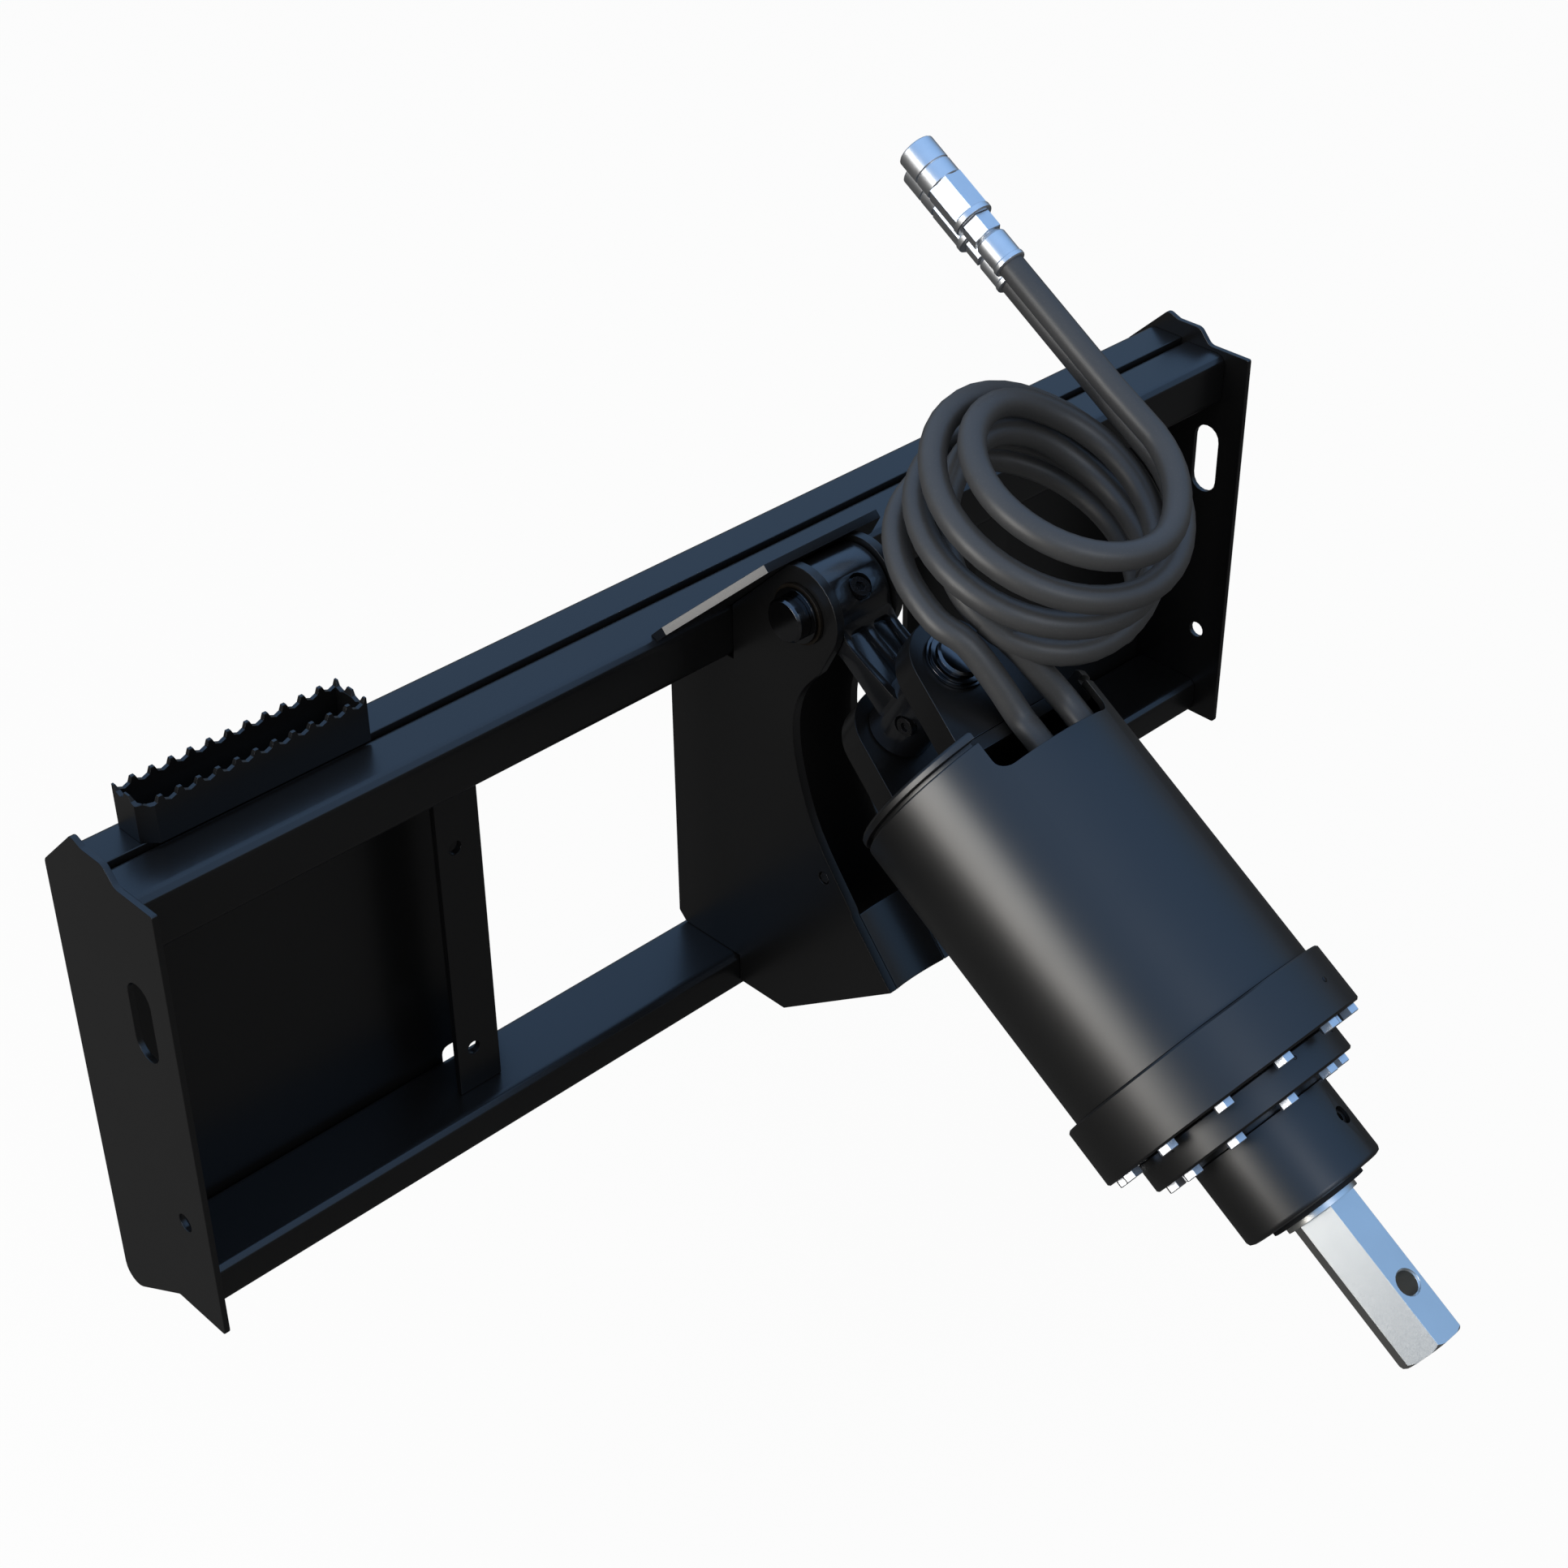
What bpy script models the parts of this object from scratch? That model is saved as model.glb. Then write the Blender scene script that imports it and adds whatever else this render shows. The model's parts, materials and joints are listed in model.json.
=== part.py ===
"""Earth auger drive: a hydraulic planetary drive hung by a two-way knuckle from a loader coupler frame.

Metres, +Z up, the working side faces -Y. The origin is the centre of the coupler plane, which holds
the back faces of the two bay panels. Side outlines of the frame are (y, z) from the front top corner
of the end plates. The drive has a frame of its own: x across, n up-front and s down along its axis,
with s = 0 abreast of the upper pin.
"""

import math

import bmesh
import bpy
from mathutils import Matrix, Vector

GAP = 0.0003

# Coupler frame
FRAME_WIDTH = 1.150
END_PLATE_T = 0.005
COUPLER_SETBACK = 0.1043
CORNER_HEIGHT = 0.206
PLATE_DEPTH = 0.137
PLATE_DROP = 0.384
PLATE_TAIL = 0.430
TUBE_SETBACK = 0.025
TUBE_WALL = 0.006
TUBE_CORNER = 0.009
TOP_TUBE_DEPTH = 0.050
TOP_TUBE_HEIGHT = 0.0485
TOP_TUBE_DROP = 0.004
LOW_TUBE_DEPTH = 0.073
LOW_TUBE_HEIGHT = 0.036
LIP_T = 0.008
LIP_DROP = 0.002
FLANGE_T = 0.008
FLANGE_SLOPE = math.radians(30.5)
PANEL_T = 0.006
PANEL_INNER_X = 0.240
PANEL_NOTCH_X = 0.293
PANEL_NOTCH_HEIGHT = 0.058
UPRIGHT_WIDTH = 0.040
UPRIGHT_T = 0.006
UPRIGHT_X = 0.292
UPRIGHT_SETBACK = 0.050
UPRIGHT_HOLE_R = 0.0058
UPRIGHT_HOLE_DROPS = (0.114, PLATE_DROP - 0.077)
SLOT_R = 0.0135
SLOT_SETBACK = 0.038
SLOT_TOP = 0.078
SLOT_BOTTOM = 0.145
PLATE_HOLE_R = 0.0075
PLATE_HOLE_DROP = PLATE_DROP - 0.092

# Traction step on the left end of the top lip
STEP_X = -0.533
STEP_LENGTH = 0.186
STEP_DEPTH = 0.036
STEP_FRONT = 0.0675
STEP_HEIGHT = 0.036
STEP_WALL = 0.0035
STEP_CHAMFER = 0.010
STEP_TEETH = 12
STEP_END_TEETH = 2
TOOTH_BITE_R = 0.0062

# Hitch
PIN_SETBACK = -0.050
PIN_RISE = 0.0205
PIN_R = 0.018
CHEEK_INNER_X = 0.0275
CHEEK_T = 0.008
CHEEK_BOSS_R = 0.039
BUSH_WALL = 0.004
RUNNING = 0.00025
GUSSET_T = 0.007
GUSSET_TILT = math.radians(44.5)
GUSSET_OFFSET = 0.0352
GUSSET_TOP = 0.0219
GUSSET_SHOULDER = 0.0597
GUSSET_FOOT = 0.088
GUSSET_TOP_HALF = 0.059
GUSSET_BASE_HALF = 0.110
CRADLE_T = 0.006
CRADLE_SAG = 0.006
CHEEK_BOLT_HOLE_R = 0.0056

# Knuckle link
LINK_BOSS_R = 0.0345
LINK_HALF = 0.0270
LINK_WAIST = 0.013
LINK_NECK = 0.008
LINK_LOWER_R = 0.026
KNUCKLE_REACH = 0.106
RIB_T = 0.0065
POCKET_DEPTH = 0.0105
RING_T = 0.002
RING_R = 0.0225
WASHER_T = 0.003
WASHER_R = 0.025
GROOVE_DEPTH = 0.0015
PIN_CHAMFER = 0.0018
UPPER_PIN_OVERHANG = 0.0125
LOWER_PIN_OVERHANG = 0.005
BOLT_R = 0.005
UPPER_BOLT_STATION = 0.0125
UPPER_BOLT_SEAT = 0.008
UPPER_HEAD_R = 0.0085
LOWER_BOLT_PAST = 0.010
LOWER_BOLT_SEAT = 0.006
LOWER_HEAD_R = 0.0078
SINK_CLEARANCE = 0.002
HEAD_HEIGHT = 0.0055

# Drive
DRIVE_TILT = math.radians(32.55)
DRIVE_OFFSET = 0.0141
EAR_T = 0.026
EAR_FRONT_N = 0.039
EAR_REAR_N = -0.062
EAR_TOP_R = 0.037
EAR_BASE_HALF = 0.0475
DISC_R = 0.103
DISC_TOP = 0.1634
DISC_T = 0.0065
DISC_NOTCH_HALF = 0.0575
DISC_NOTCH_FLOOR = 0.0525
SHELL_R = 0.1031
SHELL_WALL = 0.006
SHELL_TOP = 0.1736
SHELL_NOTCH_BOTTOM = 0.2007
NOTCH_CORNER = 0.010
SPIGOT_DEPTH = 0.012
GEARBOX_TOP = 0.4232
RING_FLANGE_R = 0.1118
RING_FLANGE_LENGTH = 0.0481
COVER_T = 0.014
OUTPUT_FLANGE_R = 0.0865
OUTPUT_FLANGE_TOP = GEARBOX_TOP + RING_FLANGE_LENGTH + 0.0014
OUTPUT_FLANGE_BOTTOM = OUTPUT_FLANGE_TOP + 0.0228
RING_BOLTS = 12
RING_BOLT_CIRCLE_R = 0.0995
FLANGE_BOLTS = 10
FLANGE_BOLT_CIRCLE_R = 0.0725
BOLT_AF = 0.013
BOLT_HEAD = 0.0055
DRUM_R = 0.0582
DRUM_TOP = OUTPUT_FLANGE_BOTTOM + 0.0037
DRUM_BOTTOM = DRUM_TOP + 0.0651
DRUM_BORE_R = 0.046
DRUM_ROUND = 0.004
NECK_R = 0.0545
SEAL_R = 0.039
SEAL_PROUD = 0.0042
JOURNAL_R = 0.030
HEX_ACROSS = 0.047
HEX_START = DRUM_BOTTOM + 0.0087
HEX_END = HEX_START + 0.1205
HEX_CHAMFER = 0.0025
HEX_TURN = math.radians(2.0)
PIN_HOLE_R = 0.0092
PIN_HOLE_FROM_END = 0.047
MOTOR_R = 0.056
MOTOR_TOP = 0.245
MOTOR_FLANGE_R = 0.066
MOTOR_FLANGE_T = 0.014
MOTOR_SHAFT_R = 0.0125
PORT_BLOCK_TOP = 0.243
PORT_BLOCK_LENGTH = 0.047
PORT_BLOCK_RISE = 0.076
PLUG_STATION = DRUM_TOP + 0.0293
PLUG_ANGLE = math.radians(23.0)
PLUG_R = 0.0068

# Planetary stage
GEAR_MODULE = 0.004
SUN_TEETH = 12
PLANET_TEETH = 12
RING_TEETH = 36
PLANETS = 3
ADDENDUM = 0.8 * GEAR_MODULE
DEDENDUM = 1.05 * GEAR_MODULE
PRESSURE_ANGLE = math.radians(25.0)
BACKLASH = 0.0004
GEAR_TOP = GEARBOX_TOP + 0.0068
GEAR_WIDTH = 0.026
CARRIER_R = 0.058
CARRIER_T = 0.012
CARRIER_BORE_R = 0.0203
PLANET_PIN_R = 0.009
BEARING_WIDTH = 0.020
BEARING_RACE = 0.0045
BEARING_DISH = 0.0025

# Hoses
HOSE_R = 0.0105
COIL_X = 0.078
COIL_Y = -0.208
COIL_Z = 0.160
COIL_TILT = math.radians(24.8)
COIL_TOP_RADIUS = 0.076
COIL_LOW_RADIUS = 0.092
COIL_FLARE = 0.026
COIL_DROP = 0.100
FERRULE_R = 0.0130
FERRULE_LENGTH = 0.027
SMALL_HEX_ACROSS = 0.0225
SMALL_HEX_LENGTH = 0.016
COLLAR_R = 0.016
COLLAR_LENGTH = 0.006
BIG_HEX_ACROSS = 0.0275
BIG_HEX_LENGTH = 0.030
SLEEVE_R = 0.015
SLEEVE_LENGTH = 0.036
SLEEVE_BORE_R = 0.0095
HOSE_END_PITCH = math.radians(32.0)
MOTOR_FITTING_LENGTH = 0.0427
HOSE_A_PORT = (0.005, 0.0635)
HOSE_B_PORT = (0.043, 0.070)
HOSE_A_END = (0.149, -0.0827, 0.2509)
HOSE_B_END = (0.170, -0.0669, 0.2263)

ARC = 6
ROUND = 32
PIN_ROUND = 24
SMALL_ROUND = 16


def clear_scene():
    for obj in list(bpy.data.objects):
        bpy.data.objects.remove(obj, do_unlink=True)


clear_scene()
PARTS = bpy.data.collections.new("earth_auger_drive")
CUTTERS = bpy.data.collections.new("cutters")
for group in (PARTS, CUTTERS):
    bpy.context.scene.collection.children.link(group)


def finish_material(name, colour, roughness, metallic):
    made = bpy.data.materials.new(name)
    made.use_nodes = True
    shader = made.node_tree.nodes["Principled BSDF"]
    shader.inputs["Base Color"].default_value = (*colour, 1.0)
    shader.inputs["Roughness"].default_value = roughness
    shader.inputs["Metallic"].default_value = metallic
    return made


BLACK_PAINT = ((0.012, 0.012, 0.013), 0.32, 0.0)
CAST_BLACK = ((0.020, 0.020, 0.021), 0.42, 0.0)
STEEL = ((0.55, 0.56, 0.58), 0.28, 1.0)
ZINC = ((0.72, 0.73, 0.75), 0.25, 1.0)
HOSE_RUBBER = ((0.05, 0.05, 0.055), 0.6, 0.0)
SEAL_RUBBER = ((0.015, 0.015, 0.015), 0.7, 0.0)
BRONZE = ((0.45, 0.30, 0.12), 0.35, 1.0)


def from_corner(y, z):
    """World (y, z) of a point of the frame's side outlines."""
    return y - COUPLER_SETBACK, z + CORNER_HEIGHT


PIN_Y, PIN_Z = from_corner(PIN_SETBACK, PIN_RISE)
DOWN = Vector((0.0, -math.cos(DRIVE_TILT), -math.sin(DRIVE_TILT)))
UP_FRONT = Vector((0.0, -math.sin(DRIVE_TILT), math.cos(DRIVE_TILT)))
PIN_POINT = Vector((0.0, PIN_Y, PIN_Z))
DRIVE_POINT = PIN_POINT + UP_FRONT * DRIVE_OFFSET


def columns(x_axis, y_axis, z_axis, origin):
    """Matrix with these local axes and origin."""
    rows = [(x_axis[i], y_axis[i], z_axis[i], origin[i]) for i in range(3)]
    return Matrix((*rows, (0, 0, 0, 1)))


DRIVE = columns((1, 0, 0), UP_FRONT, DOWN, DRIVE_POINT)


def sideways(x):
    """Sheet in the YZ plane, its thickness along X about x."""
    return columns((0, 1, 0), (0, 0, 1), (1, 0, 0), (x, 0, 0))


def upright_sheet(y):
    """Sheet in the XZ plane, its thickness along Y about y."""
    return columns((1, 0, 0), (0, 0, 1), (0, -1, 0), (0, y, 0))


def drive_sheet(n):
    """Sheet along the drive's x and s, its thickness along n about n."""
    return DRIVE @ columns((1, 0, 0), (0, 0, 1), (0, -1, 0), (0, n, 0))


def axis_empty(name, matrix):
    """Empty on a joint's axis, its local z along it."""
    empty = bpy.data.objects.new(name, None)
    PARTS.objects.link(empty)
    empty.empty_display_size = 0.1
    empty.matrix_world = matrix
    return empty


LOWER_PIN_POINT = DRIVE_POINT + DOWN * KNUCKLE_REACH
HITCH_AXIS = axis_empty("hitch_axis", columns((0, 1, 0), (0, 0, 1), (1, 0, 0), PIN_POINT))
SWING_AXIS = axis_empty("swing_axis", columns(DOWN, (1, 0, 0), UP_FRONT, LOWER_PIN_POINT))
SPIN_AXIS = axis_empty("spin_axis", DRIVE)


def ride(obj, empty):
    """Parents obj to empty and leaves it where it is."""
    obj.parent = empty
    obj.matrix_parent_inverse = empty.matrix_world.inverted()


def place(name, data, matrix, look=None, cutter=False):
    """Object holding data at matrix, as a part with its own material or as a cutter."""
    obj = bpy.data.objects.new(name, data)
    (CUTTERS if cutter else PARTS).objects.link(obj)
    obj.matrix_world = matrix
    if cutter:
        obj.hide_render = True
        obj.display_type = "WIRE"
    if look:
        data.materials.append(finish_material(name, *look))
    return obj


def fillet(corners, steps=ARC):
    """Closed outline through (u, v, radius) corners, each rounded by an arc."""
    points = []
    for i, (u, v, radius) in enumerate(corners):
        here = Vector((u, v))
        back = (Vector(corners[i - 1][:2]) - here).normalized()
        onward = (Vector(corners[(i + 1) % len(corners)][:2]) - here).normalized()
        if not radius:
            points.append((u, v))
            continue
        half = back.angle(onward) / 2
        centre = here + (back + onward).normalized() * (radius / math.sin(half))
        start = here + back * (radius / math.tan(half)) - centre
        end = here + onward * (radius / math.tan(half)) - centre
        first = math.atan2(start.y, start.x)
        turn = (math.atan2(end.y, end.x) - first + math.pi) % math.tau - math.pi
        for k in range(steps + 1):
            angle = first + turn * k / steps
            points.append((centre.x + radius * math.cos(angle), centre.y + radius * math.sin(angle)))
    return points


def box_outline(u0, v0, u1, v1, radius=0.0, steps=3):
    corners = [(u0, v0, radius), (u1, v0, radius), (u1, v1, radius), (u0, v1, radius)]
    return fillet(corners, steps)


def circle(u, v, radius, count=SMALL_ROUND):
    turns = [math.tau * k / count for k in range(count)]
    return [(u + radius * math.cos(t), v + radius * math.sin(t)) for t in turns]


def obround(u, v0, v1, radius, steps=8):
    """Slot along v with round ends, from end to end v0 to v1."""
    points = []
    for centre, start in ((v1 - radius, 0.0), (v0 + radius, math.pi)):
        for k in range(steps + 1):
            angle = start + math.pi * k / steps
            points.append((u + radius * math.cos(angle), centre + radius * math.sin(angle)))
    return points


def smooth_through(points, steps=4):
    """Points along a curve that runs smoothly through the given ones."""
    ends = [points[0]] + list(points) + [points[-1]]
    made = []
    for i in range(1, len(ends) - 2):
        p0, p1, p2, p3 = (Vector(ends[j]) for j in range(i - 1, i + 3))
        for k in range(steps):
            t = k / steps
            made.append(
                0.5
                * (
                    2 * p1
                    + (p2 - p0) * t
                    + (2 * p0 - 5 * p1 + 4 * p2 - p3) * t * t
                    + (3 * p1 - p0 - 3 * p2 + p3) * t**3
                )
            )
    made.append(Vector(points[-1]))
    return [tuple(p) for p in made]


def sheet(name, loops, thickness, matrix, look=None, cutter=False):
    """Flat outline with holes, extruded by its thickness about the matrix's plane."""
    curve = bpy.data.curves.new(name, "CURVE")
    curve.dimensions = "2D"
    curve.fill_mode = "BOTH"
    curve.extrude = thickness / 2
    for points in loops:
        spline = curve.splines.new("POLY")
        spline.points.add(len(points) - 1)
        for point, (u, v) in zip(spline.points, points):
            point.co = (u, v, 0.0, 1.0)
        spline.use_cyclic_u = True
    return place(name, curve, matrix, look, cutter)


def meshed(obj):
    """The object with its curve or modifiers made a plain closed mesh."""
    name, matrix, parent = obj.name, obj.matrix_world.copy(), obj.parent
    group = obj.users_collection[0]
    graph = bpy.context.evaluated_depsgraph_get()
    graph.update()
    mesh = bpy.data.meshes.new_from_object(obj.evaluated_get(graph))
    work = bmesh.new()
    work.from_mesh(mesh)
    bmesh.ops.remove_doubles(work, verts=work.verts, dist=0.00001)
    work.to_mesh(mesh)
    work.free()
    helper = obj.hide_render
    bpy.data.objects.remove(obj, do_unlink=True)
    made = bpy.data.objects.new(name, mesh)
    group.objects.link(made)
    made.matrix_world = matrix
    if parent:
        ride(made, parent)
    if helper:
        made.hide_render = True
        made.display_type = "WIRE"
    return made


def turned(name, profile, matrix, look=None, cutter=False, steps=ROUND, closed=False):
    """Body turned about local z from (r, s) points that run along its outer side from low to high s.

    The profile starts and ends on the axis, unless it is a closed loop round a ring's section.
    """
    mesh = bpy.data.meshes.new(name)
    verts = [(r, 0.0, s) for r, s in profile]
    edges = [(i, i + 1) for i in range(len(verts) - 1)]
    if closed:
        edges.append((len(verts) - 1, 0))
    mesh.from_pydata(verts, edges, [])
    obj = place(name, mesh, matrix, look, cutter)
    screw = obj.modifiers.new("turn", "SCREW")
    screw.steps = steps
    screw.render_steps = steps
    screw.use_merge_vertices = True
    screw.merge_threshold = 0.00001
    screw.use_normal_calculate = False
    return obj


def outward(obj):
    """Recalculates the normals of a mesh so that they point out."""
    work = bmesh.new()
    work.from_mesh(obj.data)
    bmesh.ops.recalc_face_normals(work, faces=work.faces)
    work.to_mesh(obj.data)
    work.free()
    return obj


def solid_turn(name, profile, matrix, look=None, cutter=False, steps=ROUND, closed=False):
    """Turned body as a plain mesh with its faces pointing out."""
    obj = turned(name, profile, matrix, look, cutter, steps, closed)
    bpy.context.view_layer.update()
    return smooth(outward(meshed(obj)))


def smooth(obj, angle=35.0):
    obj.data.shade_smooth()
    obj.data.set_sharp_from_angle(angle=math.radians(angle))
    return obj


def boolean(obj, other, operation):
    """Applies one Boolean of a mesh object with a mesh object and removes the other."""
    modifier = obj.modifiers.new(operation.lower(), "BOOLEAN")
    modifier.operation = operation
    modifier.object = other
    modifier.solver = "EXACT"
    bpy.context.view_layer.update()
    graph = bpy.context.evaluated_depsgraph_get()
    mesh = bpy.data.meshes.new_from_object(obj.evaluated_get(graph))
    old = obj.data
    obj.modifiers.clear()
    obj.data = mesh
    mesh.name = obj.name
    bpy.data.meshes.remove(old)
    bpy.data.objects.remove(other, do_unlink=True)
    return obj


def cut(obj, *cutters):
    for cutter in cutters:
        boolean(obj, cutter, "DIFFERENCE")
    return obj


def join(obj, *others):
    for other in others:
        boolean(obj, other, "UNION")
    return obj


def rod(name, radius, low, high, matrix, cutter=True, look=None, count=SMALL_ROUND, chamfer=0.0):
    """Cylinder about local z from low to high, with chamfered ends where asked."""
    profile = [(0, low), (radius, low), (radius, high), (0, high)]
    if chamfer:
        profile[1:3] = [
            (radius - chamfer, low),
            (radius, low + chamfer),
            (radius, high - chamfer),
            (radius - chamfer, high),
        ]
    return solid_turn(name, profile, matrix, look, cutter, count)


def across(y, z, x=0.0):
    """Local z along world X through world (y, z)."""
    return columns((0, 1, 0), (0, 0, 1), (1, 0, 0), (x, y, z))


def along_n(x, s):
    """Local z along the drive's n through (x, s) on the drive axis's plane."""
    return DRIVE @ columns((0, 0, 1), (1, 0, 0), (0, 1, 0), (x, 0, s))


def along_x(n, s):
    """Local z along x through the drive's (n, s)."""
    return DRIVE @ columns((0, 1, 0), (0, 0, 1), (1, 0, 0), (0, n, s))


def radial(angle, s):
    """Local z pointing out from the drive's axis at this angle from n towards x, at station s."""
    out = (math.sin(angle), math.cos(angle), 0.0)
    side = (math.cos(angle), -math.sin(angle), 0.0)
    return DRIVE @ columns(side, (0.0, 0.0, -1.0), out, (0, 0, s))


def gathered(name, objects):
    """One mesh object that holds these separate solids, for a Boolean."""
    work = bmesh.new()
    for obj in objects:
        mesh = obj.data.copy()
        mesh.transform(obj.matrix_world)
        work.from_mesh(mesh)
        bpy.data.meshes.remove(mesh)
        bpy.data.objects.remove(obj, do_unlink=True)
    mesh = bpy.data.meshes.new(name)
    work.to_mesh(mesh)
    work.free()
    return place(name, mesh, Matrix.Identity(4), cutter=True)


# Coupler frame

INNER_HALF = FRAME_WIDTH / 2 - END_PLATE_T
LOW_TUBE_BOTTOM = -PLATE_DROP + 0.001
TUBE_SPAN = 2 * (INNER_HALF - GAP)


def end_plates():
    outline = fillet(
        [
            (0.0, 0.0, 0.002),
            (0.044, 0.0, 0.009),
            (0.056, 0.0133, 0.009),
            (0.081, 0.0133, 0.006),
            (0.093, 0.018, 0.006),
            (PLATE_DEPTH, -0.024, 0.007),
            (PLATE_DEPTH, -PLATE_TAIL, 0.014),
            (0.0587, -PLATE_DROP, 0.006),
            (0.0, -PLATE_DROP, 0.003),
        ]
    )
    holes = [
        obround(SLOT_SETBACK, -SLOT_BOTTOM, -SLOT_TOP, SLOT_R),
        circle(0.030, -PLATE_HOLE_DROP, PLATE_HOLE_R),
    ]
    loops = [[from_corner(*p) for p in loop] for loop in (outline, *holes)]
    for side, x in (("left", -1), ("right", 1)):
        middle = x * (FRAME_WIDTH - END_PLATE_T) / 2
        sheet(f"end_plate_{side}", loops, END_PLATE_T, sideways(middle), BLACK_PAINT)


def tube_loops(top, depth, height, grow=0.0):
    """Outer outline of a tube and, for no growth, its bore."""
    y0, z1 = from_corner(TUBE_SETBACK, top)
    y1, z0 = from_corner(TUBE_SETBACK + depth, top - height)
    outer = box_outline(y0 - grow, z0 - grow, y1 + grow, z1 + grow, TUBE_CORNER + grow)
    if grow:
        return [outer]
    wall = TUBE_WALL
    return [outer, box_outline(y0 + wall, z0 + wall, y1 - wall, z1 - wall, TUBE_CORNER - wall)]


def tubes():
    top = tube_loops(-TOP_TUBE_DROP, TOP_TUBE_DEPTH, TOP_TUBE_HEIGHT)
    low = tube_loops(LOW_TUBE_BOTTOM + LOW_TUBE_HEIGHT, LOW_TUBE_DEPTH, LOW_TUBE_HEIGHT)
    sheet("top_tube", top, TUBE_SPAN, sideways(0), BLACK_PAINT)
    sheet("bottom_tube", low, TUBE_SPAN, sideways(0), BLACK_PAINT)


TOP_TUBE_BACK = TUBE_SETBACK + TOP_TUBE_DEPTH
LIP_FRONT = TOP_TUBE_BACK + GAP
PANEL_FACE = COUPLER_SETBACK - PANEL_T


def top_lip():
    """Folded plate behind the top tube, its edge bent down along the end plates' slope."""
    slant = LIP_T * math.tan(math.radians(22.5))
    fold_y = COUPLER_SETBACK + slant + 0.0012
    tip_y = PLATE_DEPTH - 0.006
    drop = tip_y - fold_y
    corners = [
        (LIP_FRONT, -LIP_DROP, 0.001),
        (fold_y, -LIP_DROP, 0.007),
        (tip_y, -LIP_DROP - drop, 0.001),
        (tip_y - LIP_T * 0.7071, -LIP_DROP - drop - LIP_T * 0.7071, 0.001),
        (fold_y - slant, -LIP_DROP - LIP_T, 0.002),
        (LIP_FRONT, -LIP_DROP - LIP_T, 0.001),
    ]
    outline = [from_corner(*p) for p in fillet(corners, 3)]
    sheet("top_lip", [outline], TUBE_SPAN, sideways(0), BLACK_PAINT)


def bottom_flange():
    """Sloping plate under the bottom tube, its underside along the end plates' lower edge."""
    under = LOW_TUBE_BOTTOM - GAP
    slope = math.tan(FLANGE_SLOPE)
    start = 0.0605
    knee = 0.0735
    tip = PLATE_DEPTH - 0.006
    fall = FLANGE_T / math.cos(FLANGE_SLOPE)
    corners = [
        (start, under, 0.0),
        (knee, under, 0.002),
        (tip, under - (tip - knee) * slope, 0.001),
        (tip - 0.001, under - (tip - knee) * slope - fall + 0.0006, 0.001),
        (start, under - fall + (knee - start) * slope, 0.0),
    ]
    outline = [from_corner(*p) for p in fillet(corners, 3)]
    sheet("bottom_flange", [outline], TUBE_SPAN, sideways(0), BLACK_PAINT)


def back_panels():
    """Two flat panels that the loader's coupler plate rests on."""
    top = CORNER_HEIGHT - LIP_DROP - LIP_T - GAP
    flange_fall = (COUPLER_SETBACK - 0.0735) * math.tan(FLANGE_SLOPE)
    low = CORNER_HEIGHT + LOW_TUBE_BOTTOM - flange_fall + 0.0035
    outer = INNER_HALF - GAP
    notch = low + PANEL_NOTCH_HEIGHT
    half = [
        (outer, top, 0.001),
        (PANEL_INNER_X, top, 0.001),
        (PANEL_INNER_X, notch, 0.006),
        (PANEL_NOTCH_X, notch, 0.006),
        (PANEL_NOTCH_X, low, 0.001),
        (outer, low, 0.001),
    ]
    for side, x in (("left", -1), ("right", 1)):
        outline = [(x * u, v) for u, v in fillet(half, 3)]
        sheet(f"back_panel_{side}", [outline], PANEL_T, upright_sheet(-PANEL_T / 2), BLACK_PAINT)


def uprights():
    """Flat bars between the tubes at the inner edges of the bays."""
    high = CORNER_HEIGHT - TOP_TUBE_DROP - TOP_TUBE_HEIGHT - GAP
    low = CORNER_HEIGHT + LOW_TUBE_BOTTOM + LOW_TUBE_HEIGHT + GAP
    middle = from_corner(UPRIGHT_SETBACK + UPRIGHT_T / 2, 0)[0]
    for side, x in (("left", -1), ("right", 1)):
        inner = UPRIGHT_X - UPRIGHT_WIDTH / 2
        bar = fillet(
            [
                (x * (inner + UPRIGHT_WIDTH), low, 0.0),
                (x * inner, low, 0.0),
                (x * inner, high, 0.0),
                (x * (inner + UPRIGHT_WIDTH), high, 0.0),
            ]
        )
        hole_x = x * (UPRIGHT_X + 0.004)
        holes = [circle(hole_x, CORNER_HEIGHT - drop, UPRIGHT_HOLE_R, 12) for drop in UPRIGHT_HOLE_DROPS]
        sheet(f"upright_{side}", [bar, *holes], UPRIGHT_T, upright_sheet(middle), BLACK_PAINT)


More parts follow.
